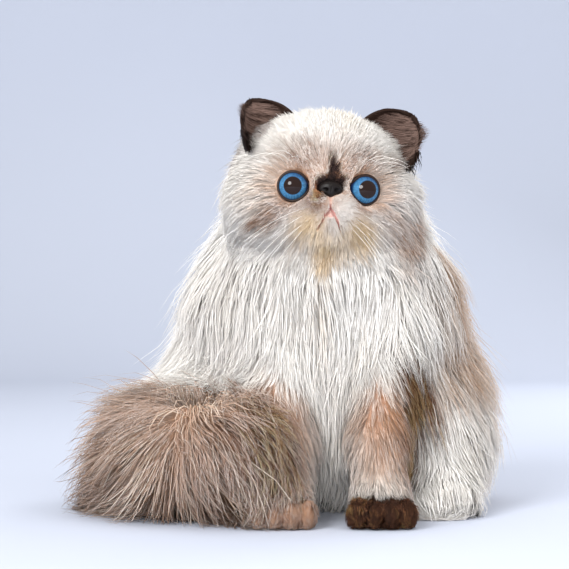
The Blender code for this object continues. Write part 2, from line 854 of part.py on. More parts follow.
def coats():
    """How each node's locks lie, in the model's frame with the tail's tip towards -Y."""
    plume = np.array(PLUME_CENTRE) * MM

    def neck_lie(p):
        out = np.array([p[0], p[1] + 0.055, 0]) / max(math.hypot(p[0], p[1] + 0.055), 1e-6)
        return np.array([0, 0, -1.0]) + 0.3 * out

    def torso_lie(p):
        return np.array([0.5 * p[0], 0.25 + 3 * max(0.0, p[1]), -1.0])

    def side_lie(s, out, back):
        return lambda p: np.array([s * out, back, -1.0])

    def cheek_lie(p):
        middle = np.array(HEAD_CENTRE)
        side = p[0] - middle[0]
        return np.array([side * 22, 0.25, -0.75])

    def tail_lie(p):
        steps = np.array(TAIL_PATH) * MM
        at = int(np.argmin(np.linalg.norm(steps - p, axis=1)))
        along = steps[min(at + 1, len(steps) - 1)] - steps[max(at - 1, 0)]
        return along / np.linalg.norm(along) + np.array([0, 0, -0.6])

    def plume_lie(p):
        out = (p - plume) / max(np.linalg.norm(p - plume), 1e-6)
        return out + np.array([-1.6 * far_side(p), 0, 0.3 * far_side(p)])

    def far_side(p):
        return max(0.0, min(1.0, (-130 * MM - p[0]) / (25 * MM)))

    def above(height):
        return lambda p: p[2] > height

    def cheeks(p):
        q = (np.array(head_matrix().inverted()) @ np.append(p, 1))[:3] / MM
        return -40 < q[1] < 20 and -46 < q[2] < 2 and abs(q[0]) > 44

    depth = {kind: COAT[kind] * (1 - CORE_SHARE) for kind in COAT}
    made = {
        "head": Coat("head", 9 * MM, 14, 26 * MM, 15 * MM, 3 * MM, cheek_lie, cheeks),
        "neck": Coat("neck", depth["neck"], 40, 48 * MM, 24 * MM, 4 * MM, neck_lie, above(0.0)),
        "torso": Coat("torso", depth["torso"], 50, 54 * MM, 28 * MM, 4.5 * MM, torso_lie, above(0.012)),
        "tail_base": Coat("tail", depth["tail"], 9, 46 * MM, 28 * MM, 4.5 * MM, tail_lie, above(0.012)),
        "tail_middle": Coat("tail", depth["tail"], 9, 46 * MM, 28 * MM, 4.5 * MM, tail_lie, above(0.012)),
        "tail_tip": Coat(
            "tail", depth["tail"], 32, 50 * MM, 25 * MM, 4.5 * MM,
            plume_lie, above(0.01), lambda p: 1 + 0.6 * far_side(p),
        ),
    }
    for side, word in enumerate(SIDES):
        s = 1 - 2 * side
        made[f"haunch_{word}"] = Coat(
            f"haunch_{word}", depth["haunch"], 13, 50 * MM, 27 * MM, 4.5 * MM,
            side_lie(s, 0.25, 0.1), above(0.014),
        )
        made[f"foreleg_{word}"] = Coat(
            f"foreleg_{word}", depth["foreleg"], 5, 26 * MM, 14 * MM, 3 * MM,
            side_lie(s, 0.1, 0.3), above(0.04),
        )
    return made


def grow_coats(cores):
    """The locks of every node. Each keeps clear of the cores and locks of all the others."""
    forms, plans = body_forms(), coats()
    trees = {name: [tree_of(mesh)] for name, mesh in cores.items()}
    locks = {}
    draw = np.random.default_rng(SEED)
    for name, coat in plans.items():
        own = forms[coat.form]
        near = [form for key, form in forms.items() if key != coat.form]
        rest = [tree for key, group in trees.items() if key != name for tree in group]
        roots = spread_roots(cores[name], own, near, coat, draw)
        scales = draw.uniform(0.8, 1.2, len(roots)) * np.array([coat.stretch(root) for root in roots])
        made = clear_locks(roots, own, near, rest, coat, scales)
        trees[name] += [tree_of(lock) for lock in made]
        locks[name] = made
    return locks


def build_all():
    """Makes the nodes in order. A later one gives way to every earlier one that it meets."""
    nodes = head_nodes() + limb_nodes()
    nodes.append(Node("neck", "white", body_form(neck_flesh(), "neck", 5 * MM, 300)))
    for side, word in enumerate(SIDES):
        nodes.append(Node(f"foreleg_{word}", "tan", body_form(foreleg_flesh(side), "foreleg", 3 * MM, 200)))
    for name, first, last in TAIL_PARTS:
        length = body_form(tail_flesh(first, last), "tail", 5 * MM, 160)
        nodes.append(Node(name, "smoke", length, cuts=tail_cuts(first, last)))
    for side, word in enumerate(SIDES):
        nodes.append(Node(f"haunch_{word}", "cream", body_form(haunch_flesh(side), "haunch", 5 * MM, 200)))
    nodes.append(Node("torso", "white", body_form(torso_flesh(), "torso", 6 * MM, 380)))
    tail = {name for name, _, _ in TAIL_PARTS}
    cores = {}
    for index, node in enumerate(nodes):
        before = [other for other in nodes[:index] if not {other.name, node.name} <= tail]
        cores[node.name] = node.core(before)
    locks = grow_coats(cores)
    for node in nodes:
        node.finish(cores[node.name], locks.get(node.name, []))


def body_form(flesh, kind, voxel, triangles):
    return soft_form(flesh, COAT[kind] * CORE_SHARE, voxel, MELT[kind], triangles)


clear_scene()
workshop = collection("workshop")
cat = collection("cat")
build_all()
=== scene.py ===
"""The look of a sitting long-haired, flat-faced cat: skin, eyes, nose, ears, coat, whiskers and stage.

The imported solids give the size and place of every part. The skin follows the same flesh as they do and
lies under the coat, and the coat's tips reach as far as theirs. The cat faces -Y, and its left is +X.
"""

import math

import bmesh
import bpy
import numpy as np
from mathutils import Euler, Matrix, Vector
from mathutils.kdtree import KDTree


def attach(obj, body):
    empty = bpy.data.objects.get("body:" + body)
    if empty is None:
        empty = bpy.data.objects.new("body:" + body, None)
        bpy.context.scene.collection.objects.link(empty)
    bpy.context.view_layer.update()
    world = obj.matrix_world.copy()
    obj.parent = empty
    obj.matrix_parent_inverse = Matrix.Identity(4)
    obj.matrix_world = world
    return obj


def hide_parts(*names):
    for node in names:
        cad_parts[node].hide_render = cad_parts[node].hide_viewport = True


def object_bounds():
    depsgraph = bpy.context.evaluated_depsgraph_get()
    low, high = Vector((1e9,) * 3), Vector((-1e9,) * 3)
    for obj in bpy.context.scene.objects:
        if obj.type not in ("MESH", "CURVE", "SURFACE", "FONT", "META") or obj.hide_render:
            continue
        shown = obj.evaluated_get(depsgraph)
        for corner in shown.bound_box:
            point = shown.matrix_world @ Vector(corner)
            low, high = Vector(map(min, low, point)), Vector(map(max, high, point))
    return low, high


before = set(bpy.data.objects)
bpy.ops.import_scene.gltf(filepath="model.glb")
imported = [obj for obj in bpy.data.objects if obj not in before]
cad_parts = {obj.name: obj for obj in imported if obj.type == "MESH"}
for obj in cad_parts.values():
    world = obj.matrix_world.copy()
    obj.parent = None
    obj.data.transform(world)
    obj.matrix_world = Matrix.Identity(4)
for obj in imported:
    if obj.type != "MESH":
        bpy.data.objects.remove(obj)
CAD_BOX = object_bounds()

bl_info = {
    "name": "Long-haired sitting cat",
    "version": (1, 0, 0),
    "blender": (4, 5, 0),
    "location": "View3D > Sidebar > Cat",
    "description": "Builds the skin, features, coat and stage of a sitting long-haired cat",
    "category": "Object",
}

MM = 0.001
BODY = "root"
SIDES = ("left", "right")
SIGNS = (1, -1)
EYES = ("eye_left", "eye_right")
EARS = ("ear_left", "ear_right")
FLESH_NODES = [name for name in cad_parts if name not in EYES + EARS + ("nose",)]

# The head's place and turn, and the places on it in millimetres in its own upright frame
HEAD_CENTRE = Vector((-7.6, -97, 247.4)) * MM
HEAD_TURN = math.radians(8)
HEAD_TILT = math.radians(2.7)
HEAD = Matrix.LocRotScale(HEAD_CENTRE, Euler((0, HEAD_TILT, HEAD_TURN)), None)
EYE_X, EYE_Y, EYE_Z = 25.6, -41.5, -4.8
EYE_RADIUS = 11.3
EYE_BULGE = 1.2
EYE_OUTWARD = 0.16
PRESS_EDGE = (10.8, 12.2)
PRESS_REACH = 16
PRESS_BEHIND = 2.2
NOSE = (0, -52.5, -5)
MOUTH_TOP = (0, -55.0, -19)
MUZZLE_BACK = -40
NOSE_GROOVE = ((0, 10), (0, 0))
MOUTH_LINE = ((0, 0), (2.4, -3.2), (4.6, -7.2), (6.8, -11.2), (8.2, -14.5))
EAR_BASE = (43, -1, 25.5)
EAR_SHIFT = 2.5
EAR_TURN = ((-10, 36, -20), (-10, 19, -20))

FORELEG_X = (36, -35)
HAUNCH_X = (70, -76)
HINDFOOT_X = (82, -82)
FOREPAW_Y = -142
PLUME_CENTRE = np.array((-98, -112, 84)) * MM
TAIL_PATH = (
    (-30, 56, 42), (-78, 60, 36), (-118, 34, 34), (-130, -14, 34),
    (-124, -62, 38), (-104, -104, 44), (-66, -126, 46),
)
TAIL_RADII = (18, 19, 20, 21, 22, 22, 21)


def carried(points, matrix):
    matrix = np.array(matrix)
    return points @ matrix[:3, :3].T + matrix[:3, 3]


def past_ball(local, size):
    """Distance outside an ellipsoid, nearly, for points measured from its middle."""
    far = np.linalg.norm(local / size, axis=1)
    return far * (far - 1) / np.maximum(np.linalg.norm(local / size**2, axis=1), 1e-9)


def from_segment(points, a, b):
    """How far along a segment each point's nearest place is, and the offset from that place."""
    t = np.clip((points - a) @ (b - a) / ((b - a) @ (b - a)), 0, 1)
    return t, points - a - t[:, None] * (b - a)


class Flesh:
    """One body part as melted balls and bars, with how high skin and hair tips lie over it."""

    def __init__(self, name, melt, skin, tips, in_head=False):
        self.name, self.melt, self.in_head = name, melt * MM, in_head
        self.skin, self.tips = skin, tips
        self.balls, self.bars = [], []

    def ball(self, centre, radii, skin=None, tips=None):
        skin = self.skin if skin is None else skin
        self.balls.append((centre, radii, skin, self.tips if tips is None else tips))
        return self

    def pair(self, centre, radii, skin=None, tips=None):
        x, y, z = centre
        return self.ball(centre, radii, skin, tips).ball((-x, y, z), radii, skin, tips)

    def bar(self, points, radii):
        self.bars += [(*pair, *ends) for pair, ends in zip(zip(points, points[1:]), zip(radii, radii[1:]))]
        return self

    def near(self, points, share):
        """Distance to each ball and bar. A share of 0 is the skin and 1 the tips of the coat."""
        share = np.broadcast_to(np.asarray(share, dtype=float), len(points))[:, None]
        if self.in_head:
            points = carried(points, HEAD.inverted())
        found = []
        for centre, radii, skin, tips in self.balls:
            size = (np.array(radii) + skin + (tips - skin) * share) * MM
            found.append(past_ball(points - np.array(centre) * MM, size))
        for start, end, first, last in self.bars:
            t, off = from_segment(points, np.array(start) * MM, np.array(end) * MM)
            radius = (first + (last - first) * t + self.skin + (self.tips - self.skin) * share[:, 0]) * MM
            found.append(np.linalg.norm(off, axis=1) - radius)
        return np.stack(found)

    def away(self, points, share=0.0):
        return melted(self.near(points, share), self.melt)


def melted(near, melt):
    """A smooth least value over the first axis."""
    least = near.min(axis=0)
    return least - melt * np.log(np.exp(-(near - least) / melt).sum(axis=0))


def paw(flesh, x, y):
    flesh.ball((x, y + 6, 14), (18, 20, 14))
    for toe in range(4):
        across = (toe - 1.5) * 11.5
        ahead = 5 * math.cos(math.radians((toe - 1.5) * 45))
        flesh.ball((x + across, y - 13 - ahead, 10), (5.2, 13, 9))
    return flesh


def body_plan():
    head = Flesh("head", 5, -4.0, 2.5, in_head=True)
    head.ball((0, 0, 4), (58, 46, 48), -6, 3.5).ball((0, -23, 23), (42, 23, 24), -4, 2.5)
    head.ball((0, -39, 3), (12, 9, 12), -1.2, 1.5).ball((0, -38, -20), (21, 14, 15), -1.2, 1.0)
    head.ball((0, -43, -38), (11, 9.5, 9), -1.5, 3).ball((0, -28, -34), (20, 18, 14), -3, 5)
    head.pair((38, -12, -14), (30, 32, 30), -6, 9).pair((27, -27, -26), (22, 18, 17), -3.5, 5)
    head.pair((30, -29, -18), (16, 12, 11), -2, 2).pair((25, -30, 12), (18, 12, 11), -2.5, 1.5)
    head.pair((36, 3, 20), (23, 22, 19), -5, 2).pair((10.5, -45, -22), (12, 10, 12.5), -0.9, 0.8)
    neck = Flesh("neck", 6, 8, 25).ball((-1, -60, 193), (66, 50, 32)).ball((-4, -58, 212), (50, 40, 36))
    neck.ball((-1, -60, 166), (70, 54, 36))
    torso = Flesh("torso", 10, 8, 25).ball((-3, -56, 150), (80, 50, 56)).ball((-3, -30, 158), (78, 52, 50))
    torso.ball((-4, -2, 112), (94, 60, 72)).ball((-2, 16, 66), (88, 60, 64))
    torso.ball((0, -38, 80), (70, 54, 60)).ball((-2, 4, 34), (72, 56, 38))
    tail = Flesh("tail", 6, 12, 35).bar(TAIL_PATH, TAIL_RADII)
    parts = [head, neck, torso, tail]
    for side, word in enumerate(SIDES):
        s, hip, leg = SIGNS[side], HAUNCH_X[side], FORELEG_X[side]
        haunch = Flesh(f"haunch_{word}", 8, 8, 25).ball((hip, -6, 72), (37, 58, 52))
        haunch.ball((hip + s * 5, -40, 48), (30, 38, 38)).ball((hip, 14, 34), (34, 42, 32))
        foreleg = Flesh(f"foreleg_{word}", 4, 3, 10)
        foreleg.bar(((leg, -86, 138), (leg, -98, 100), (leg, -120, 60), (leg, -128, 28)), (26, 21, 15, 14))
        forepaw = paw(Flesh(f"forepaw_{word}", 0.8, 0.5, 4), leg, FOREPAW_Y)
        hindfoot = Flesh(f"hindfoot_{word}", 4, 0.5, 13).ball((HINDFOOT_X[side], -44, 11), (16, 36, 12))
        parts += [haunch, foreleg, forepaw, paw(hindfoot, HINDFOOT_X[side], -78)]
    return parts


PARTS = body_plan()
PART_NAMES = [part.name for part in PARTS]
WHOLE_MELT = 3.5 * MM
LOWEST_SKIN = 0.4 * MM
LOWEST_HAIR = 0.8 * MM
CHUNK = 16384


def part_distances(points, share=0.0):
    share = np.broadcast_to(np.asarray(share, dtype=float), len(points))
    made = []
    for start in range(0, len(points), CHUNK):
        some, level = points[start : start + CHUNK], share[start : start + CHUNK]
        made.append(np.stack([part.away(some, level) for part in PARTS]))
    return np.concatenate(made, axis=1)


def away(points, share=0.0):
    """How far points lie outside the whole cat, at the skin or at a share of the coat's depth."""
    return melted(part_distances(points, share), WHOLE_MELT)


def upward(points, share=0.0, step=0.4 * MM):
    """The outward direction at points."""
    here = away(points, share)
    rise = np.stack([away(points + step * axis, share) - here for axis in np.eye(3)], axis=1)
    return rise / np.maximum(np.linalg.norm(rise, axis=1, keepdims=True), 1e-9), here


def settled(points, share=0.0, rounds=3, most=5 * MM):
    for _ in range(rounds):
        up, here = upward(points, share)
        points = points - np.clip(here, -most, most)[:, None] * up
    return points


def to_head(points):
    """Places in the head's own frame, in millimetres."""
    return carried(points, HEAD.inverted()) / MM


def from_head(points):
    return carried(np.asarray(points, dtype=float) * MM, HEAD)


def unit(vectors):
    return vectors / np.maximum(np.linalg.norm(vectors, axis=-1, keepdims=True), 1e-9)


def ramp(value, low, high):
    t = np.clip((value - low) / (high - low), 0, 1)
    return t * t * (3 - 2 * t)


# Meshes and objects


def object_of(name, mesh, *materials):
    thing = bpy.data.objects.new(name, mesh)
    bpy.context.scene.collection.objects.link(thing)
    for material in materials:
        mesh.materials.append(material)
    return thing


def evaluated(thing):
    graph = bpy.context.evaluated_depsgraph_get()
    mesh = bpy.data.meshes.new_from_object(thing.evaluated_get(graph))
    thing.modifiers.clear()
    old = thing.data
    thing.data = mesh
    bpy.data.meshes.remove(old)
    return mesh


def coordinates(mesh):
    found = np.empty(len(mesh.vertices) * 3)
    mesh.vertices.foreach_get("co", found)
    return found.reshape(-1, 3)


def set_coordinates(mesh, points):
    mesh.vertices.foreach_set("co", np.ascontiguousarray(points, dtype=float).ravel())
    mesh.update()


def eye_axis(side):
    facing = Vector((SIGNS[side] * EYE_OUTWARD, -1, 0.03)).normalized()
    return np.array(facing)


def eye_middle(side):
    return np.array((SIGNS[side] * EYE_X, EYE_Y, EYE_Z))


def before_eye(q, side):
    """How far places in the head's frame lie before an eye's middle, and to the side of its axis."""
    axis, offset = eye_axis(side), q - eye_middle(side)
    ahead = offset @ axis
    return ahead, np.linalg.norm(offset - ahead[:, None] * axis, axis=1)


def mesh_of(bm, name):
    mesh = bpy.data.meshes.new(name)
    bm.to_mesh(mesh)
    bm.free()
    return mesh


# Shader maths


class Value:
    """A shader socket that arithmetic can be written on."""

    def __init__(self, tree, socket):
        self.tree, self.socket = tree, socket

    def maths(self, operation, *others):
        return self.tree.node("ShaderNodeMath", {"operation": operation}, [self, *others])

    def __add__(self, other):
        return self.maths("ADD", other)

    def __radd__(self, other):
        return self.maths("ADD", other)

    def __sub__(self, other):
        return self.maths("SUBTRACT", other)

    def __rsub__(self, other):
        return self.tree.node("ShaderNodeMath", {"operation": "SUBTRACT"}, [other, self])

    def __mul__(self, other):
        return self.maths("MULTIPLY", other)

    def __rmul__(self, other):
        return self.maths("MULTIPLY", other)

    def clipped(self):
        return self.tree.node("ShaderNodeClamp", {}, [self])

    def between(self, low, high):
        """0 below the first value and 1 above the second, smoothly."""
        settings = {"interpolation_type": "SMOOTHSTEP"}
        return self.tree.node("ShaderNodeMapRange", settings, [self, low, high, 0.0, 1.0])


class Tree:
    """A material's node tree, with one method that adds any node."""

    def __init__(self, name):
        self.material = bpy.data.materials.new(name)
        self.material.use_nodes = True
        self.nodes = self.material.node_tree.nodes
        self.links = self.material.node_tree.links
        self.shader = self.nodes["Principled BSDF"]

    def node(self, kind, settings=None, inputs=(), output=0):
        node = self.nodes.new(kind)
        for name, value in (settings or {}).items():
            setattr(node, name, value)
        pairs = inputs.items() if isinstance(inputs, dict) else enumerate(inputs)
        for key, value in pairs:
            self.feed(node.inputs[key], value)
        return Value(self, node.outputs[output])

    def feed(self, socket, value):
        if isinstance(value, Value):
            self.links.new(value.socket, socket)
        else:
            socket.default_value = value

    def mix(self, share, first, second):
        """One colour passing into another."""
        node = self.nodes.new("ShaderNodeMix")
        node.data_type = "RGBA"
        for socket, value in ((node.inputs[0], share), (node.inputs[6], first), (node.inputs[7], second)):
            self.feed(socket, value)
        return Value(self, node.outputs[2])

    def noise(self, place, scale, detail=2.0, roughness=0.5):
        inputs = {"Vector": place, "Scale": scale, "Detail": detail, "Roughness": roughness}
        return self.node("ShaderNodeTexNoise", {}, inputs)

    def vector(self, operation, inputs, output=0):
        return self.node("ShaderNodeVectorMath", {"operation": operation}, inputs, output)

    def stored(self, name, output):
        return self.node("ShaderNodeAttribute", {"attribute_name": name}, (), output)

    def split(self, place):
        """The three numbers of a place."""
        node = self.node("ShaderNodeSeparateXYZ", {}, [place]).socket.node
        return [Value(self, socket) for socket in node.outputs]

    def spot(self, place, centre, radii, soft=0.6):
        """1 inside an ellipsoid, in millimetres, falling to 0 at its edge."""
        offset = self.vector("SUBTRACT", [place, tuple(c * MM for c in centre)])
        scaled = self.vector("DIVIDE", [offset, tuple(r * MM for r in radii)])
        far = self.vector("LENGTH", [scaled], 1)
        return 1 - far.between(1 - soft, 1.0)

    def finish(self, colour, roughness, specular=0.25, **sockets):
        self.feed(self.shader.inputs["Base Color"], colour)
        self.feed(self.shader.inputs["Roughness"], roughness)
        self.shader.inputs["Specular IOR Level"].default_value = specular
        for name, value in sockets.items():
            self.feed(self.shader.inputs[name.replace("_", " ").title()], value)
        return self.material


def tint(red, green, blue):
    """A colour from 0 to 255 values as they look on screen."""
    shares = [c / 255 for c in (red, green, blue)]
    return (*(c / 12.92 if c < 0.04 else ((c + 0.055) / 1.055) ** 2.4 for c in shares), 1.0)


def dimmed(shade, share):
    return (*(value * share for value in shade[:3]), 1.0)


class CatColours(bpy.types.PropertyGroup):
    def shade(label, about, value):
        return bpy.props.FloatVectorProperty(
            name=label, description=about, default=value, size=4, subtype="COLOR", min=0.0, max=1.0
        )

    white: shade("White", "Crown, bib and flanks", tint(244, 238, 230))
    cream: shade("Cream", "Warm parts of the pale coat", tint(236, 220, 198))
    beige: shade("Beige", "Back and outer haunch", tint(160, 124, 98))
    tan: shade("Tan", "Cheeks, brow and forelegs", tint(150, 104, 74))
    gold: shade("Gold", "Muzzle and chin", tint(222, 184, 134))
    umber: shade("Umber", "Shaded fur of the right cheek", tint(108, 70, 42))
    ash: shade("Ash", "Hair inside the ears", tint(104, 84, 76))
    orange: shade("Orange", "Right forepaw", tint(146, 88, 44))
    brown: shade("Brown", "Dark streaks of the face, legs and tail", tint(84, 52, 34))
    smoke: shade("Smoke", "Middle tone of the tail", tint(130, 101, 85))
    seal: shade("Seal", "Ears and paws", tint(36, 21, 14))
    # Black also stands for the painted shade under the chest.
    black: shade("Black", "Nose leather and the fur round it", tint(16, 10, 9))
    pink: shade("Pink", "Lips", tint(170, 104, 98))
    iris: shade("Iris", "Main colour of the iris", tint(66, 122, 164))
    iris_rim_and_lid_shadow: shade("Iris rim", "Dark ring round the iris", tint(18, 44, 84))
    pupil: shade("Pupil", "Colour seen in the wide pupil", tint(26, 13, 10))
    floor: shade("Floor", "Plain studio floor", tint(184, 190, 204))


class CatSizes(bpy.types.PropertyGroup):
    skin_voxel: bpy.props.FloatProperty(
        name="Skin grid", description="Spacing of the skin's mesh", default=0.003, unit="LENGTH", min=0.001
    )
    guide_count: bpy.props.IntProperty(
        name="Guides", description="Guide hairs that the tufts follow", default=7000, min=100
    )
    body_tufts: bpy.props.IntProperty(
        name="Tufts", description="Tufts of hair over the whole cat", default=98000, min=1000
    )
    seed: bpy.props.IntProperty(name="Seed", description="Changes every random draw", default=11)


def sizes():
    return bpy.context.scene.cat_sizes


def colour(name):
    return tuple(getattr(bpy.context.scene.cat_colours, name))


# Markings and painted shade, the same on skin and coat


def markings(tree, place, tone):
    """The coat's colour at a place, with painted shade under the chest and on the front of the tail. Tone is
    a value from 0 to 1, one for each tuft or noise on the skin.
    """
    c = colour
    x, y, z = tree.split(place)
    patch = tree.noise(place, 38.0, 3.0)
    fine = tree.noise(place, 170.0, 2.0)
    mixed = (patch * 0.6 + tone * 0.4 + fine * 0.25) - 0.12

    def spots(*places):
        """Soft patches added together: each a centre, radii and how soft its edge is."""
        return sum((tree.spot(place, *where) for where in places[1:]), tree.spot(place, *places[0])).clipped()

    base = tree.mix((patch - 0.42) * 1.4 + (tone - 0.5) * 0.3, c("white"), c("cream"))
    back = (y + (patch - 0.5) * 0.05).between(-0.03, 0.05)
    flank = (x + (patch - 0.5) * 0.04).between(0.046, 0.080) * z.between(0.075, 0.13)
    flank = flank * y.between(-0.12, -0.07)
    hip = (x + (patch - 0.5) * 0.03).between(0.098, 0.124)
    share = (back + flank + hip * 0.7).clipped() * (mixed.between(0.1, 0.7) * 0.5 + 0.5)
    base = tree.mix(share, base, c("beige"))

    legs = spots(((38, -118, 60), (34, 44, 78)), ((-36, -118, 62), (32, 44, 74)))
    legs = legs * (1 - z.between(0.09, 0.135))
    base = tree.mix(legs * (0.7 + mixed * 0.5), base, c("tan"))
    stripe = spots(((58, -95, 112), (22, 80, 50), 0.8), ((57, -105, 60), (16, 80, 50), 0.8))
    stripe = stripe * (0.35 + mixed.between(0.1, 0.55))
    base = tree.mix(stripe * 0.9, base, c("brown"))
    low = 1 - z.between(0.020, 0.036)
    paws = tree.mix(tone.between(0.45, 0.95) * 0.6, c("seal"), c("umber"))
    base = tree.mix(low * spots(((36, -150, 12), (44, 50, 60), 0.3)), base, paws)
    base = tree.mix(low * spots(((-35, -150, 12), (36, 50, 60), 0.3)) * 0.9, base, c("orange"))

    # The mask of the face, and painted shade under the chest
    face = spots(((-2, -142, 244), (62, 46, 42), 0.6), ((52, -125, 216), (30, 44, 36), 0.7))
    base = tree.mix(face * (0.45 + mixed.between(0.2, 0.75) * 0.5), base, c("tan"))
    streaky = tree.noise(tree.vector("MULTIPLY", [place, (300.0, 60.0, 70.0)]), 1.0, 2.0)
    brow = spots(
        ((-19, -140, 264), (20, 40, 17), 0.9), ((22, -138, 262), (20, 40, 17), 0.9),
        ((40, -130, 258), (14, 40, 11), 0.9),
    )
    brow = brow * (streaky * 0.8 + tone * 0.35 - 0.1).between(0.3, 0.58)
    base = tree.mix(brow * 0.85, base, c("brown"))
    cheeks = spots(((-37, -138, 229), (16, 36, 13), 0.9), ((-41, -134, 222), (14, 40, 10), 0.9))
    base = tree.mix(cheeks * (0.5 + mixed * 0.7), base, c("umber"))
    muzzle = spots(
        ((-15, -148, 219), (17, 26, 14), 0.9), ((18, -146, 214), (19, 26, 16), 0.8),
        ((-2, -148, 204), (15, 26, 17), 0.8),
    )
    base = tree.mix(muzzle * (0.7 + 0.4 * patch), base, c("gold"))
    chin = spots(((-4, -142, 196), (11, 30, 26), 0.9), ((-8, -140, 168), (9, 34, 24), 0.9))
    base = tree.mix(chin * mixed.between(0.1, 0.6) * 0.8, base, c("gold"))
    # Painted shade: black fur low under the chest, down to the floor between the forelegs and the tail.
    under = tree.spot(place, (-8, -95, 12), (24, 80, 30), 0.5)
    base = tree.mix(under, base, c("black"))
    pale = spots(((9, -152, 226), (10, 16, 12), 0.7), ((44, -126, 236), (15, 30, 17), 0.9))
    base = tree.mix(pale * 0.5, base, c("white"))
    eyes = spots(((-28, -142, 243), (17, 22, 16), 0.5), ((25, -136, 241), (17, 22, 16), 0.5))
    base = tree.mix(eyes * 0.6, base, c("tan"))
    bridge = spots(
        ((0, -150, 245), (19, 22, 11), 0.7), ((1, -146, 256), (6, 24, 18), 1.0),
        ((-8, -150, 238), (9, 18, 9), 1.0),
    )
    base = tree.mix((bridge * (0.55 + mixed * 0.9)).between(0.1, 0.85), base, c("black"))
    beside_nose = spots(((-11, -150, 233), (12, 20, 13), 1.0)) * (0.6 + mixed * 0.8)
    base = tree.mix(beside_nose, base, c("brown"))
    # Tan flecks over the top of the nose bridge.
    bridge_flecks = spots(((1, -154, 250), (8, 12, 4), 0.8)) * fine.between(0.5, 0.62)
    base = tree.mix(bridge_flecks * 0.7, base, c("tan"))
    beside_ears = spots(((-62, -110, 267), (14, 34, 24), 0.8), ((59, -104, 262), (13, 34, 24), 0.8))
    base = tree.mix(beside_ears * mixed.between(0.15, 0.6) * 0.85, base, c("brown"))

    before_ears = spots(((-47, -112, 283), (16, 30, 14), 0.5), ((51, -104, 277), (12, 30, 11), 0.5))
    base = tree.mix(before_ears * 0.85, base, tree.mix(tone, c("brown"), c("ash")))

    # The tail, dark and light in streaks that run with the hair
    tail = tree.spot(place, (-95, -80, 44), (112, 132, 78), 0.25)
    tail = tail * (1 - (x + y * 0.45).between(-0.088, -0.070))
    root = tree.spot(place, (-92, 50, 34), (72, 62, 62), 0.35)
    streak = (patch * 0.45 + tone * 0.7 - 0.1).between(0.1, 0.62)
    plume = tree.mix(streak, c("brown"), c("smoke"))
    plume = tree.mix((0.35 - x * 4.0 - patch).between(0.0, 0.45) * 0.45, plume, c("beige"))
    plume = tree.mix((tone + fine * 0.4).between(0.8, 1.15) * 0.35, plume, c("cream"))
    plume = tree.mix(z.between(0.055, 0.10) * 0.5, plume, c("beige"))
    # Painted shade: the part of the tail that comes round in front is darkened towards brown.
    shaded = tree.spot(place, (-60, -130, 62), (36, 60, 42), 0.8) * (1.4 - tone)
    plume = tree.mix(shaded, plume, c("brown"))
    return tree.mix((tail + root).clipped(), base, plume)


def skin_material():
    tree = Tree("cat_skin")
    place = tree.node("ShaderNodeTexCoord", {}, (), output=3)
    base = markings(tree, place, tree.noise(place, 400.0))
    lips = tree.stored("lip", 2)
    base = tree.mix(lips, base, colour("pink"))
    grain = tree.noise(place, 900.0, 2.0)
    bump = tree.node("ShaderNodeBump", {}, {"Strength": 0.35, "Distance": 0.0008, "Height": grain})
    return tree.finish(base, 0.8, 0.15, Normal=bump)


def coat_material():
    """Hair, coloured by where its root is so that a tuft keeps one colour to its tip."""
    tree = Tree("cat_coat")
    place = tree.stored("root", 1)
    tone = tree.stored("tone", 2)
    base = markings(tree, place, tone)
    light = tree.node("ShaderNodeHueSaturation", {}, {"Value": tone * 0.14 + 0.93, "Color": base})
    made = tree.finish(light, 0.7, 0.1)
    tree.shader.inputs["Subsurface Weight"].default_value = 0.6
    tree.shader.inputs["Subsurface Radius"].default_value = (1.0, 1.0, 1.0)
    tree.shader.inputs["Subsurface Scale"].default_value = 0.002
    return made


def plain_material(name, shade, roughness, specular=0.3, grain=60.0, depth=0.0, spread=0.25):
    tree = Tree(name)
    place = tree.node("ShaderNodeTexCoord", {}, (), output=3)
    varied = tree.noise(place, grain, 3.0)
    base = tree.mix(varied, dimmed(shade, 1 - spread), shade)
    if not depth:
        return tree.finish(base, roughness, specular)
    bump = tree.node("ShaderNodeBump", {}, {"Strength": 0.6, "Distance": depth, "Height": varied})
    return tree.finish(base, roughness, specular, Normal=bump)


# Skin

BALLS_ON_A_BAR = 7


def skin_cage():
    """A closed mesh close to the skin, of even spacing; build_skin then makes it finer on the face and the
    paws.
    """
    bm = bmesh.new()
    for part in PARTS:
        turn = HEAD if part.in_head else Matrix()
        for centre, radii, skin, _ in part.balls:
            size = (Vector(radii) + Vector((skin + 1,) * 3)) * MM
            place = turn @ Matrix.LocRotScale(Vector(centre) * MM, None, size)
            bmesh.ops.create_icosphere(bm, subdivisions=4, radius=1, matrix=place)
        for start, end, first, last in part.bars:
            for step in range(BALLS_ON_A_BAR):
                t = step / (BALLS_ON_A_BAR - 1)
                centre = Vector(start).lerp(Vector(end), t) * MM
                size = (first + (last - first) * t + part.skin + 1) * MM
                place = Matrix.LocRotScale(centre, None, Vector((size,) * 3))
                bmesh.ops.create_icosphere(bm, subdivisions=4, radius=1, matrix=place)
    mesh = mesh_of(bm, "skin")
    thing = object_of("skin", mesh)
    remesh = thing.modifiers.new("together", "REMESH")
    remesh.mode = "VOXEL"
    remesh.voxel_size = sizes().skin_voxel
    relax = thing.modifiers.new("relax", "SMOOTH")
    relax.iterations = 3
    evaluated(thing)
    return thing


def refined(mesh, wanted):
    """Splits the faces whose middles are wanted, and settles the skin again."""
    bm = bmesh.new()
    bm.from_mesh(mesh)
    middles = np.array([face.calc_center_median() for face in bm.faces])
    chosen = wanted(middles)
    edges = {edge for face, keep in zip(bm.faces, chosen) if keep for edge in face.edges}
    bmesh.ops.subdivide_edges(bm, edges=list(edges), cuts=1, use_grid_fill=True)
    bm.to_mesh(mesh)
    bm.free()
    set_coordinates(mesh, settled(coordinates(mesh), rounds=3))


def on_face(points):
    q = to_head(points)
    return (q[:, 1] < -26) & (abs(q[:, 0]) < 42) & (q[:, 2] > -50) & (q[:, 2] < 22)


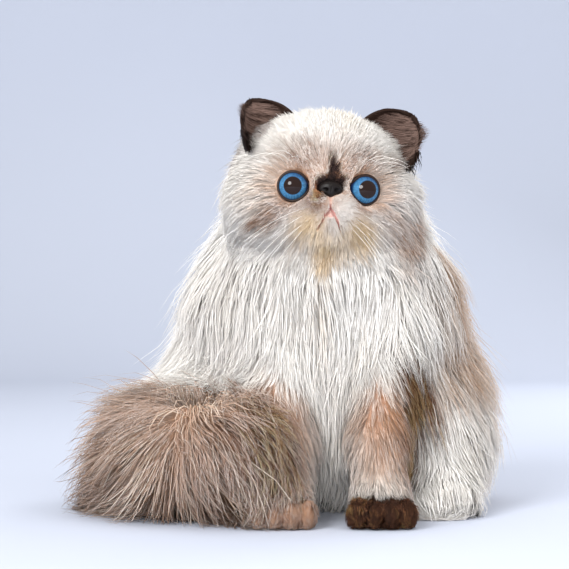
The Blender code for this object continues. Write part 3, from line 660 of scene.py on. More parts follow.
def on_muzzle(points):
    q = to_head(points)
    near_eye = [np.linalg.norm(q - eye_middle(side), axis=1) < 17 for side in (0, 1)]
    muzzle = (q[:, 1] < MUZZLE_BACK) & (abs(q[:, 0]) < 24) & (q[:, 2] > -46) & (q[:, 2] < 6)
    return muzzle | near_eye[0] | near_eye[1]


def on_paws(points):
    return (points[:, 2] < 34 * MM) & (points[:, 1] < -60 * MM) & (points[:, 0] > -64 * MM)


def line_distance(q, line):
    """Distance in the face's plane from points to a line of (x, z) places below the mouth's top."""
    flat = np.stack([abs(q[:, 0]), q[:, 2] - MOUTH_TOP[2]], axis=1)
    best = np.full(len(q), 1e9)
    for a, b in zip(line, line[1:]):
        a, b = np.array(a, dtype=float), np.array(b, dtype=float)
        best = np.minimum(best, np.linalg.norm(from_segment(flat, a, b)[1], axis=1))
    return best


def face_relief(points):
    """Presses in the eye openings, the line of the mouth and the groove under the nose."""
    q = to_head(points)
    up, _ = upward(points)
    front = q[:, 1] < MUZZLE_BACK
    mouth = line_distance(q, MOUTH_LINE)
    groove = line_distance(q, NOSE_GROOVE)
    depth = 2.6 * np.exp(-((mouth / 1.2) ** 2)) + 1.3 * np.exp(-((groove / 0.9) ** 2))
    depth -= 0.9 * np.exp(-(((mouth - 3.2) / 1.8) ** 2))
    points = points - up * (depth * front * MM)[:, None]
    lips = np.where(front, 0.85 * np.exp(-((mouth / 1.7) ** 2)) + 0.25 * np.exp(-((groove / 1.5) ** 2)), 0.0)
    inside = (abs(q[:, 0]) < 4) & (q[:, 2] < MOUTH_TOP[2] - 2) & (q[:, 2] > MOUTH_TOP[2] - 6.5) & front
    lips = np.maximum(lips, np.where(inside, 0.6, 0.0))
    q = to_head(points)
    for side in (0, 1):
        ahead, across = before_eye(q, side)
        inward = (1 - ramp(across, *PRESS_EDGE)) * (ahead > 0) * (across < PRESS_REACH)
        floor = np.sqrt(np.maximum((EYE_RADIUS - PRESS_BEHIND) ** 2 - across**2, 0))
        q = q - eye_axis(side) * (inward * np.maximum(ahead - floor, 0))[:, None]
    return from_head(q), lips


def build_skin():
    thing = skin_cage()
    set_coordinates(thing.data, settled(coordinates(thing.data), rounds=4))
    refined(thing.data, lambda p: on_face(p) | on_paws(p))
    refined(thing.data, on_muzzle)
    points, lips = face_relief(coordinates(thing.data))
    points[:, 2] = np.maximum(points[:, 2], LOWEST_SKIN)
    set_coordinates(thing.data, points)
    store = thing.data.attributes.new("lip", "FLOAT", "POINT")
    store.data.foreach_set("value", lips.astype(np.float32))
    thing.data.materials.append(skin_material())
    thing.data.shade_smooth()
    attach(thing, BODY)
    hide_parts(*FLESH_NODES)


# Eyes, lids and nose

LID_TURNS, LID_RING = 72, 10
LID_RADIUS, LID_CORNER, LID_THICK = 10.6, 1.6, 0.72


def eye_material():
    """Wide pupil, bright ring of iris with fine rays, painted shadow of the upper lid over the iris's top,
    and a dark rim, under a wet surface.
    """
    tree = Tree("cat_eye")
    place = tree.stored("gaze", 1)
    x, y, _ = tree.split(place)
    radius = (x * x + y * y).maths("POWER", 0.5)
    angle = tree.node("ShaderNodeMath", {"operation": "ARCTAN2"}, [y, x])
    spread = tree.node("ShaderNodeCombineXYZ", {}, [angle * 9.0, radius * 5.0, 0.0])
    inputs = {"Vector": spread, "Scale": 1.0, "Detail": 3.0}
    rays = tree.node("ShaderNodeTexNoise", {"noise_dimensions": "2D"}, inputs)
    iris = tree.mix(rays.between(0.3, 0.75), dimmed(colour("iris"), 0.55), colour("iris"))
    # Painted shadow of the upper lid: the iris darker towards its top.
    shade = (y * 0.6 + x * 0.15).between(0.0, 0.62)
    iris = tree.mix(shade * 0.8, iris, colour("iris_rim_and_lid_shadow"))
    base = tree.mix(radius.between(0.555, 0.60), colour("pupil"), iris)
    base = tree.mix(radius.between(0.80, 0.90), base, colour("iris_rim_and_lid_shadow"))
    base = tree.mix(radius.between(0.95, 1.0), base, colour("black"))
    made = tree.finish(base, 0.5, 0.0)
    tree.shader.inputs["Coat Weight"].default_value = 0.55
    tree.shader.inputs["Coat Roughness"].default_value = 0.02
    return made


def build_eye(side, material):
    bm = bmesh.new()
    bmesh.ops.create_uvsphere(bm, u_segments=64, v_segments=40, radius=EYE_RADIUS)
    gaze = bm.verts.layers.float_vector.new("gaze")
    turn = Vector(eye_axis(side)).to_track_quat("Z", "Y")
    above = turn.inverted() @ Vector((0, 0, 1))
    for vertex in bm.verts:
        x, y, _ = vertex.co
        seen = Vector((x * above.y - y * above.x, x * above.x + y * above.y, 0))
        vertex[gaze] = seen / EYE_RADIUS if vertex.co.z > 0 else Vector((1, 0, 0))
        ahead = vertex.co.z / EYE_RADIUS
        vertex.co.z += EYE_BULGE * max(0.0, ahead - 0.5) / 0.5
    place = HEAD @ Matrix.Scale(MM, 4) @ Matrix.LocRotScale(Vector(eye_middle(side)), turn, None)
    bmesh.ops.transform(bm, matrix=place, verts=bm.verts)
    mesh = mesh_of(bm, "eye")
    mesh.shade_smooth()
    thing = object_of(f"eyeball_{SIDES[side]}", mesh, material)
    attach(thing, BODY)
    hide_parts(EYES[side])


def build_lids(material):
    """A rim round each eye, thicker above, pulled to a corner beside the nose."""
    bm = bmesh.new()
    heights = np.arange(2.0, 15.0, 0.1)
    for side in (0, 1):
        axis, middle = Vector(eye_axis(side)), Vector(eye_middle(side))
        turn = axis.to_track_quat("Z", "Y").to_matrix()
        across, above = turn @ Vector((1, 0, 0)), turn @ Vector((0, 1, 0))
        if above.z < 0:
            across, above = -across, -above
        corner_angle = math.pi if across.x * SIGNS[side] > 0 else 0.0
        loops = []
        for i in range(LID_TURNS):
            angle = 2 * math.pi * i / LID_TURNS
            right, top = math.cos(angle), math.sin(angle)
            corner = max(0.0, math.cos(angle - corner_angle)) ** 14
            radius = LID_RADIUS + LID_CORNER * corner - 0.3 * max(0.0, top) ** 2
            out = across * right + above * top
            rise = math.sqrt(max((EYE_RADIUS + 0.5) ** 2 - radius**2, 4.0)) - 1.2 * corner
            line = np.array(middle + out * (radius + 0.4)) + heights[:, None] * np.array(axis)
            open_air = away(from_head(line)) > 0
            rise = max(rise, float(heights[open_air.argmax()]) - 0.3)
            thick = LID_THICK + 0.22 * max(0.0, top)
            middle_of_rim = middle + out * radius + axis * rise
            loops.append([
                bm.verts.new(middle_of_rim + (out * math.cos(a) * 1.25 + axis * math.sin(a)) * thick)
                for a in (2 * math.pi * k / LID_RING for k in range(LID_RING))
            ])
        for i in range(LID_TURNS):
            a, b = loops[i], loops[(i + 1) % LID_TURNS]
            for k in range(LID_RING):
                j = (k + 1) % LID_RING
                bm.faces.new((a[k], b[k], b[j], a[j]))
    bmesh.ops.recalc_face_normals(bm, faces=bm.faces)
    bmesh.ops.transform(bm, matrix=HEAD @ Matrix.Scale(MM, 4), verts=bm.verts)
    mesh = mesh_of(bm, "lids")
    mesh.shade_smooth()
    thing = object_of("eyelids", mesh, material)
    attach(thing, BODY)


def nose_distance(q):
    x, y, z = NOSE
    balls = (
        ((x, y, z + 1), (6.8, 5.0, 4.4)), ((x, y - 0.2, z - 3), (3.6, 4.2, 3.6)),
        ((x + 5.0, y + 1.2, z - 0.8), (3.8, 4.0, 3.8)), ((x - 5.0, y + 1.2, z - 0.8), (3.8, 4.0, 3.8)),
    )
    near = []
    for centre, radii in balls:
        near.append(past_ball(q - np.array(centre), np.array(radii)))
    whole = melted(np.stack(near), 1.0)
    for s in (-1, 1):
        local = (q - np.array((x + s * 4.0, y - 3.6, z - 1.2))) / np.array((2.0, 3.4, 1.35))
        hole = 1.35 * (1 - np.linalg.norm(local, axis=1))
        whole = np.maximum(whole, hole)
    cleft = 0.7 - np.hypot(q[:, 0] - x, (q[:, 1] - (y - 5.6)) * 0.6) - (q[:, 2] - z > 1) * 5
    return np.maximum(whole, cleft)


def build_nose(material):
    bm = bmesh.new()
    bmesh.ops.create_icosphere(bm, subdivisions=6, radius=1)
    mesh = mesh_of(bm, "nose")
    outward = coordinates(mesh)
    centre = np.array(NOSE) + np.array((0, 1.5, -0.5))
    low, high = np.zeros(len(outward)), np.full(len(outward), 14.0)
    for _ in range(18):
        middle = (low + high) / 2
        inside = nose_distance(centre + outward * middle[:, None]) < 0
        low, high = np.where(inside, middle, low), np.where(inside, high, middle)
    set_coordinates(mesh, from_head(centre + outward * low[:, None]))
    mesh.shade_smooth()
    thing = object_of("nose_leather_pad", mesh, material)
    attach(thing, BODY)
    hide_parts("nose")


# Ears

EAR_WIDTH, EAR_HEIGHT, EAR_WALL = 48, 37, 1.8
EAR_BEND = math.radians(72)


def ear_matrix(side):
    s = SIGNS[side]
    x, y, z = EAR_BASE
    lean, open_out, roll = EAR_TURN[side]
    turn = Euler([math.radians(a) for a in (lean, s * open_out, s * roll)])
    return HEAD @ Matrix.Scale(MM, 4) @ Matrix.LocRotScale(Vector((s * x + EAR_SHIFT, y, z)), turn, None)


def ear_point(across, up):
    """A place on an ear's sheet, in the ear's own frame: across from -1 to 1 and up from 0 to 1."""
    half = EAR_WIDTH / 2 * (np.sqrt(np.maximum(0.0, 1 - up**2.2)) * 0.96 + 0.04)
    bend = across * EAR_BEND
    depth = half * 0.7 * (1 - np.cos(bend)) / (1 - math.cos(EAR_BEND))
    height = up * EAR_HEIGHT * (1 - 0.1 * abs(across) ** 3)
    return np.stack([half * np.sin(bend) / math.sin(EAR_BEND), -depth, height], axis=-1)


def build_ear(side, material):
    bm = bmesh.new()
    bmesh.ops.create_grid(bm, x_segments=28, y_segments=22, size=1)
    mesh = mesh_of(bm, "ear")
    flat = coordinates(mesh)
    set_coordinates(mesh, ear_point(flat[:, 0], (flat[:, 1] + 1) / 2))
    thing = object_of(f"ear_shell_{SIDES[side]}", mesh, material)
    wall = thing.modifiers.new("wall", "SOLIDIFY")
    wall.thickness = EAR_WALL
    wall.offset = 0
    wall.use_even_offset = False
    mesh = evaluated(thing)
    mesh.transform(ear_matrix(side))
    bm = bmesh.new()
    bm.from_mesh(mesh)
    bmesh.ops.recalc_face_normals(bm, faces=bm.faces)
    bm.to_mesh(mesh)
    bm.free()
    mesh.shade_smooth()
    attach(thing, BODY)
    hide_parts(EARS[side])


# Coat


class Region:
    """How the hair of one part grows. Lengths and widths are millimetres."""

    def __init__(self, length, width, clump, wave, rise, droop):
        self.length, self.width, self.clump = length, width, clump
        self.wave, self.rise, self.droop = wave, rise, droop


REGIONS = {
    "head": Region(15, 0.6, 0.3, 0.8, 1.0, 0.1),
    "neck": Region(66, 0.66, 0.2, 6.5, 1.0, 0.45),
    "torso": Region(64, 0.7, 0.2, 5.5, 1.0, 0.4),
    "haunch": Region(58, 0.7, 0.2, 4.5, 1.0, 0.45),
    "foreleg": Region(22, 0.65, 0.3, 1.2, 1.0, 0.2),
    "forepaw": Region(9, 0.55, 0.2, 0.3, 1.0, 0.1),
    "hindfoot": Region(34, 0.7, 0.3, 1.5, 1.0, 0.3),
    "tail": Region(52, 0.6, 0.22, 4.0, 1.3, 0.12),
}
REGION_OF_PART = [REGIONS[name.split("_")[0]] for name in PART_NAMES]


def weights(points):
    """How much each part owns a place, from 0 to 1."""
    near = part_distances(points)
    share = np.exp(-(near - near.min(axis=0)) / (4 * MM))
    return share / share.sum(axis=0)


def blended(share, name):
    return np.array([getattr(region, name) for region in REGION_OF_PART]) @ share


LOCKS = 700
LOCK_PULL = 0.52


def head_length(points):
    """Hair length on the head in millimetres: short on the face, long on the cheeks and nape."""
    q = to_head(points)
    from_nose = np.linalg.norm((q - np.array((0, -50, -10))) * np.array((1.0, 0.8, 1.0)), axis=1)
    length = 2.8 + 8.5 * ramp(from_nose, 10, 46) + 14 * ramp(from_nose, 44, 80)
    length += 14 * ramp(abs(q[:, 0]), 30, 54) * ramp(-q[:, 2], -12, 18)
    chin = ramp(-q[:, 2], 26, 44) * (1 - ramp(abs(q[:, 0]), 24, 40))
    length = length + 16 * chin
    for s in (-1, 1):
        near_ear = np.linalg.norm(q - np.array((s * 44, -16, 27)), axis=1)
        length = length * (0.4 + 0.6 * ramp(near_ear, 10, 24))
    return length


def lie_of_coat(points, share):
    """The way the hair points at each place, before it is laid on the skin."""
    x, y, z = points.T
    q = to_head(points)
    radial = q - np.array((0, -50, -8.0))
    head = unit(radial * np.array((1.0, 0.25, 1.0)) + np.array((0, 14.0, 0)))
    head[:, 2] -= 0.35 * ramp(abs(q[:, 0]), 30, 60)
    for side in (0, 1):
        from_eye = q - eye_middle(side)
        near_eye = 1 - ramp(np.linalg.norm(from_eye, axis=1), 12, 22)
        head += 2.4 * near_eye[:, None] * unit(from_eye * np.array((1.0, 0.0, 1.0)))
    head = head @ np.array(HEAD)[:3, :3].T
    axis = np.stack([x, y + 0.055, np.zeros_like(x)], axis=1)
    down = np.tile((0.0, 0.0, -1.0), (len(points), 1))
    neck = down + 0.3 * unit(axis)
    back = ramp(y, -0.02, 0.06)
    torso = down + np.stack([2.5 * x, 0.15 + 0.6 * back, np.zeros_like(x)], axis=1)
    steps = np.array(TAIL_PATH) * MM
    at = np.linalg.norm(points[:, None] - steps[None], axis=2).argmin(axis=1)
    along = unit(steps[np.minimum(at + 1, len(steps) - 1)] - steps[np.maximum(at - 1, 0)])
    plume = unit(points - PLUME_CENTRE)
    near_tip = ramp(-y, 0.01, 0.075)[:, None]
    far = ramp(-x, 0.125, 0.15)[:, None] * near_tip
    tail = (along + np.array((0, 0, -0.6))) * (1 - near_tip) + plume * near_tip
    tail = tail + far * np.array((-0.9, 0, 0.1))
    ways = {"head": head, "neck": neck, "torso": torso, "tail": tail}
    made = np.zeros_like(points)
    for name, part in zip(PART_NAMES, share):
        kind = name.split("_")[0]
        s = 1 if name.endswith("left") else -1
        if kind == "haunch":
            way = down + np.array((0.28 * s, 0.05, 0))
        elif kind == "foreleg":
            way = down + np.array((0.12 * s, 0.2, 0))
        elif kind in ("forepaw", "hindfoot"):
            way = down * 0.5 + np.array((0, -0.9, 0))
        else:
            way = ways[kind]
        made += unit(way) * part[:, None]
    return unit(made)


GUIDE_STEPS = 6


def lay_hair(roots, draw):
    """Guide hairs from root to tip. Each leans into the lock that it belongs to and waves with it."""
    share = weights(roots)
    lock = nearest(roots, roots[:LOCKS])[:, 0]
    length = blended(share, "length")
    on_head = share[0]
    length = length * (1 - on_head) + head_length(roots) * on_head
    x, y, z = roots.T
    spray = ramp(-x, 0.118, 0.145) * ramp(-y, 0.0, 0.06) * (1 - ramp(z, 0.03, 0.065))
    length = length * (1 + 0.7 * spray) * draw.uniform(0.8, 1.2, len(roots)) * MM
    droop = blended(share, "droop")
    wave = blended(share, "wave") * MM * draw.uniform(0.6, 1.3, len(roots))
    phase = draw.uniform(0, 2 * math.pi, LOCKS)[lock] + draw.normal(0, 0.35, len(roots))
    reach = draw.uniform(0.78, 1.06, LOCKS)[lock] * draw.uniform(0.86, 1.12, len(roots))
    reach = reach * blended(share, "rise") * (1 + 0.5 * spray)
    up, _ = upward(roots)
    paths, ups = [roots - up * 0.6 * MM], [up]
    points = roots.copy()
    for step in range(1, GUIDE_STEPS + 1):
        t = step / GUIDE_STEPS
        if step % 2:
            way = lie_of_coat(points, weights(points))
        way = way + np.array((0, 0, -1.0)) * (droop * t)[:, None]
        way = way - up * ((way * up).sum(axis=1) * 0.85)[:, None]
        sway = unit(np.cross(way, up)) * (wave * np.cos(phase + t * 5.5) * 0.4)[:, None]
        points = points + unit(way) * (length / GUIDE_STEPS)[:, None] + sway
        level = reach * min(1.0, 1.15 * t**0.75)
        points = settled(points, level, rounds=2)
        up, _ = upward(points, level)
        points[:, 2] = np.maximum(points[:, 2], 1.0 * MM + 1.5 * MM * (1 - t))
        paths.append(points.copy())
        ups.append(up)
    paths = np.stack(paths, axis=1)
    level = np.linspace(0, 1, GUIDE_STEPS + 1)
    pull = (LOCK_PULL * level**1.5)[None, :, None]
    pull = pull * np.minimum(1, blended(share, "length") / 50)[:, None, None]
    return paths + (paths[lock] - paths) * pull, np.stack(ups, axis=1), lock


def roots_on(skin, count, density, draw):
    """Random places on the skin, more where the density is higher."""
    mesh = skin.data
    mesh.calc_loop_triangles()
    corners = np.empty(len(mesh.loop_triangles) * 3, dtype=np.int32)
    mesh.loop_triangles.foreach_get("vertices", corners)
    triangles = coordinates(mesh)[corners.reshape(-1, 3)]
    first, second = triangles[:, 1] - triangles[:, 0], triangles[:, 2] - triangles[:, 0]
    areas = np.linalg.norm(np.cross(first, second), axis=1)
    chance = areas * density(triangles.mean(axis=1))
    chosen = triangles[draw.choice(len(triangles), count, p=chance / chance.sum())]
    u, v = draw.random((2, count, 1))
    fold = (u + v) > 1
    u, v = np.where(fold, 1 - u, u), np.where(fold, 1 - v, v)
    return chosen[:, 0] + u * (chosen[:, 1] - chosen[:, 0]) + v * (chosen[:, 2] - chosen[:, 0])


def bare(points):
    """Where no hair grows: the eyes, the nose, the lips and the soles."""
    q = to_head(points)
    found = points[:, 2] < 1.2 * MM
    for side in (0, 1):
        ahead, across = before_eye(q, side)
        found |= (across < 12.0) & (ahead > -2)
    found |= nose_distance(q) < 0.6
    inside = (abs(q[:, 0]) < 3.5) & (q[:, 2] < MOUTH_TOP[2] - 2) & (q[:, 2] > MOUTH_TOP[2] - 6)
    lips = inside | (line_distance(q, MOUTH_LINE) < 1.0) | (line_distance(q, NOSE_GROOVE) < 0.8)
    return found | (lips & (q[:, 1] < MUZZLE_BACK))


def coat_density(points):
    """How many hairs grow on each bit of skin, with more on the short-haired face."""
    q = to_head(points)
    on_head = part_distances(points)[0] < 6 * MM
    face = on_head * (1 - ramp(q[:, 1], -34, 6))
    dense = 1.0 + 1.6 * on_head + 5.0 * face
    near_nose = np.linalg.norm(q - np.array((0, -50, -12)), axis=1)
    dense = dense + 7.0 * face * (1 - ramp(near_nose, 18, 42))
    paws = (points[:, 2] < 32 * MM) & (points[:, 1] < -100 * MM) & (abs(points[:, 0]) < 64 * MM)
    dense = dense + 4.0 * paws
    return np.where(bare(points), 0.0, dense)


def tuft_arrays(paths, ups, widths, flat=0.4):
    """Points and faces of closed three-sided tufts, each tapering from its middle to its tip."""
    count, stations = paths.shape[:2]
    along = unit(np.gradient(paths, axis=1))
    side = unit(np.cross(along, ups))
    rise = np.cross(side, along)
    rings = stations - 1
    level = np.linspace(0, 1, stations)[:-1]
    swell = np.where(level < 0.35, 0.65 + level, 1.0 - (level - 0.35) * 0.75)
    half = widths[:, None, None] * swell[None, :, None] * 0.5
    body = paths[:, :-1]
    corners = np.stack([
        body + side[:, :-1] * half - rise[:, :-1] * half * flat * 0.7,
        body + rise[:, :-1] * half * flat * 1.4,
        body - side[:, :-1] * half - rise[:, :-1] * half * flat * 0.7,
    ], axis=2).reshape(count, rings * 3, 3)
    points = np.concatenate([corners, paths[:, -1:]], axis=1)
    faces = [(0, 1, 2)]
    for ring in range(rings - 1):
        for k in range(3):
            a, b = ring * 3 + k, ring * 3 + (k + 1) % 3
            faces += [(a, b + 3, b), (a, a + 3, b + 3)]
    last = (rings - 1) * 3
    faces += [(last + k, rings * 3, last + (k + 1) % 3) for k in range(3)]
    faces = np.array(faces)[None] + (np.arange(count) * points.shape[1])[:, None, None]
    return points, faces.reshape(-1, 3), side


def tuft_mesh(name, paths, ups, widths, tones, roots, unwrap, soften=0.8):
    """One joined mesh of tufts, with their roots and tones as attributes and the bake's UV map."""
    points, faces, side = tuft_arrays(paths, ups, widths)
    count, each = points.shape[:2]
    mesh = bpy.data.meshes.new(name)
    mesh.vertices.add(count * each)
    mesh.vertices.foreach_set("co", points.ravel())
    mesh.loops.add(len(faces) * 3)
    mesh.loops.foreach_set("vertex_index", faces.ravel().astype(np.int32))
    mesh.polygons.add(len(faces))
    mesh.polygons.foreach_set("loop_start", (np.arange(len(faces)) * 3).astype(np.int32))
    mesh.update(calc_edges=True)
    store = mesh.attributes.new("root", "FLOAT_VECTOR", "POINT")
    store.data.foreach_set("vector", np.repeat(roots, each, axis=0).astype(np.float32).ravel())
    store = mesh.attributes.new("tone", "FLOAT", "POINT")
    store.data.foreach_set("value", np.repeat(tones, each).astype(np.float32))
    place = unwrap(roots)
    stations = paths.shape[1]
    level = np.append(np.repeat(np.linspace(0, 1, stations)[:-1], 3), 1.0)
    lean = np.append(np.tile((0.0, 0.5, 1.0), stations - 1), 0.5)
    local = np.stack([lean, level], axis=1) * TUFT_PATCH
    uv = (place[:, None] + local[None]).reshape(-1, 2)[faces.ravel()]
    layer = mesh.uv_layers.new(name="OFBake")
    layer.data.foreach_set("uv", uv.astype(np.float32).ravel())
    mesh.shade_smooth()
    middle = paths[:, :, None].repeat(3, axis=2)[:, :-1].reshape(count, -1, 3)
    round_way = np.concatenate([points[:, :-1] - middle, ups[:, -1:]], axis=1)
    skyward = np.concatenate([ups[:, :-1].repeat(3, axis=1), ups[:, -1:]], axis=1)
    normals = unit(unit(round_way) * (1 - soften) + skyward * soften)
    mesh.normals_split_custom_set_from_vertices(normals.reshape(-1, 3))
    return mesh


def resampled(paths, stations):
    """The same paths with another number of evenly spread stations."""
    old = np.linspace(0, 1, paths.shape[1])
    new = np.linspace(0, 1, stations)
    at = np.clip(np.searchsorted(old, new, side="right") - 1, 0, len(old) - 2)
    t = ((new - old[at]) / (old[at + 1] - old[at]))[None, :, None]
    return paths[:, at] * (1 - t) + paths[:, at + 1] * t


def nearest(points, targets, count=1):
    tree = KDTree(len(targets))
    for index, place in enumerate(targets):
        tree.insert(place, index)
    tree.balance()
    return np.array([[found[1] for found in tree.find_n(point, count)] for point in points])


def framed(*axes):
    """Unwrap places from 0 to 1, kept a little inside the edges."""
    return np.stack([axis * 0.98 + 0.005 for axis in axes], axis=1)


def round_axis(centre):
    """An unwrap round an upright axis through a centre, for one region's roots."""
    def unwrap(points):
        local = points - np.asarray(centre)
        angle = np.arctan2(local[:, 0], -local[:, 1]) / (2 * math.pi) + 0.5
        low, high = points[:, 2].min(), points[:, 2].max()
        flat = np.hypot(local[:, 0], local[:, 1])
        lift = (points[:, 2] - low) / max(high - low, 1e-6) + flat / max(flat.max(), 1e-6) * 0.15
        return framed(angle, lift / 1.16)
    return unwrap


def round_tail(points):
    """An unwrap along the tail and round it."""
    steps = np.array(TAIL_PATH) * MM
    best, along, angle = np.full(len(points), 1e9), np.zeros(len(points)), np.zeros(len(points))
    for index, (a, b) in enumerate(zip(steps, steps[1:])):
        t, off = from_segment(points, a, b)
        far = np.linalg.norm(off, axis=1)
        side = unit(np.cross(b - a, np.array((0, 0, 1.0))))
        turn = np.arctan2(off @ side, off[:, 2]) / (2 * math.pi) + 0.5
        closer = far < best
        best = np.where(closer, far, best)
        along = np.where(closer, (index + t) / (len(steps) - 1), along)
        angle = np.where(closer, turn, angle)
    return framed(angle, along)


PIECE_TRIANGLES = 190000
TUFT_PATCH = 0.003
BOX_SHARE, BOX_SPARE = 0.03, 8 * MM
FACE_BACK, CHEST_BACK = -18, -0.02
STATIONS = {"face": 3, "head": 3, "foreleg": 3, "ruff": 5, "tail": 5}


def build_coat(skin, material):
    """Guide hairs laid over the skin, and tufts that follow the nearest of them in loose clumps."""
    draw = np.random.default_rng(sizes().seed)
    guides = roots_on(skin, sizes().guide_count, coat_density, draw)
    paths, ups, lock = lay_hair(guides, draw)
    roots = roots_on(skin, sizes().body_tufts, coat_density, draw)
    close = nearest(roots, guides, 3)
    gap = np.linalg.norm(roots[:, None] - guides[close], axis=2) + 0.2 * MM
    pull = 1 / gap**2
    pull /= pull.sum(axis=1, keepdims=True)
    share = weights(roots)
    clump = blended(share, "clump") * draw.uniform(0.5, 1.3, len(roots))
    width = blended(share, "width")
    on_head = share[0]
    face_width = 0.34 + 0.5 * ramp(head_length(roots), 4, 22)
    width = (width * (1 - on_head) + face_width * on_head) * MM * draw.uniform(0.7, 1.25, len(roots))
    level = np.linspace(0, 1, GUIDE_STEPS + 1)
    shape = (paths - paths[:, :1])[close]
    loose = (shape * pull[:, :, None, None]).sum(axis=1)
    tight = paths[close[:, 0]] - roots[:, None]
    reach = 1.08 - 0.75 * draw.random(len(roots)) ** 1.6
    inward = (clump[:, None] * level**1.6)[:, :, None]
    local = loose * (1 - inward) + tight * inward
    local = local * (0.25 + 0.75 * reach)[:, None, None]
    head, neck, torso, tail = (PART_NAMES.index(name) for name in ("head", "neck", "torso", "tail"))
    loose_share = np.where(draw.random(len(roots)) < 0.12, 0.12, 0.05) * (1 + 0.9 * share[tail])
    stray = draw.normal(0, 1, (len(roots), 3)) * (loose_share * np.linalg.norm(local[:, -1], axis=1))[:, None]
    local = local + stray[:, None] * (level**1.5)[None, :, None]
    low, high = (np.array(corner) for corner in CAD_BOX)
    margin = (high - low) * BOX_SHARE + BOX_SPARE
    for _ in range(8):
        made = roots[:, None] + local
        proud = ((made < low - margin) | (made > high + margin)).any(axis=(1, 2))
        local[proud] *= 0.85
    made[:, :, 2] = np.maximum(made[:, :, 2], LOWEST_HAIR)
    directions = ups[close[:, 0]]
    tones = 0.5 + 0.15 * draw.normal(0, 1, LOCKS)[lock][close[:, 0]]
    tones = tones + 0.1 * draw.normal(0, 1, len(guides))[close[:, 0]]
    tones = np.clip(tones + draw.normal(0, 0.14, len(roots)), 0, 1)
    kind = share.argmax(axis=0)
    q = to_head(roots)
    groups = {
        "coat_face": (kind == head) & (q[:, 1] < FACE_BACK),
        "coat_head": (kind == head) & (q[:, 1] >= FACE_BACK),
        "coat_ruff": kind == neck,
        "coat_back": (kind == torso) & (roots[:, 1] >= CHEST_BACK),
        "coat_chest": (kind == torso) & (roots[:, 1] < CHEST_BACK),
        "coat_tail": kind == tail,
    }
    for word in SIDES:
        for limb, foot in (("haunch", "hindfoot"), ("foreleg", "forepaw")):
            both = [PART_NAMES.index(f"{part}_{word}") for part in (limb, foot)]
            groups[f"coat_{limb}_{word}"] = np.isin(kind, both)
    for name, chosen in groups.items():
        found = np.flatnonzero(chosen)
        stations = STATIONS.get(name.split("_")[1], 4)
        most = PIECE_TRIANGLES // (6 * stations - 8)
        for number in range(0, len(found), most):
            some = found[number : number + most]
            unwrap = round_tail if name == "coat_tail" else round_axis(roots[some].mean(axis=0))
            mesh = tuft_mesh(
                name, resampled(made[some], stations), resampled(directions[some], stations),
                width[some], tones[some], roots[some], unwrap,
            )
            label = name if number == 0 else f"{name}_{number // most + 1}"
            thing = object_of(label, mesh, material)
            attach(thing, BODY)


# Whiskers and the hair of the ears

WHISKER_STATIONS = 9
WHISKER_WIDTH = 0.26 * MM
EAR_TUFTS = 5600


def build_whiskers(material):
    draw = np.random.default_rng(sizes().seed + 1)
    paths = []
    t = np.linspace(0, 1, WHISKER_STATIONS)[:, None]
    for s in (-1, 1):
        for row in range(4):
            for column in range(3):
                start = np.array((s * (9 + 3.2 * column), -53 + 2.0 * column, -18 - 3.0 * row + 1.2 * column))
                out = np.array((s * 1.0, -0.25 + 0.2 * column, -0.15 - 0.2 * row + draw.uniform(-0.08, 0.08)))
                length = draw.uniform(34, 58)
                drop = np.array((0, 0.35, -0.45)) * length * t**2 * 0.8
                paths.append(start + unit(out) * length * t + drop)
        for number in range(4):
            start = np.array((s * (20 + 3.5 * number), -42, 9.5))
            length = draw.uniform(26, 44)
            out = unit(np.array((s * (0.25 + 0.15 * number), -0.55, 0.95)))
            drop = np.array((s * 0.25, 0.1, -0.75)) * length * t**2 * 0.9
            paths.append(start + out * length * t + drop)
    paths = from_head(np.array(paths))
    roots = paths[:, 0]
    ups = np.tile((0.0, -1.0, 0.2), (len(paths), WHISKER_STATIONS, 1))
    mesh = tuft_mesh(
        "whiskers", paths, unit(ups), np.full(len(paths), WHISKER_WIDTH), np.ones(len(paths)), roots,
        round_axis(roots.mean(axis=0)), 0.2,
    )
    thing = object_of("whiskers", mesh, material)
    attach(thing, BODY)


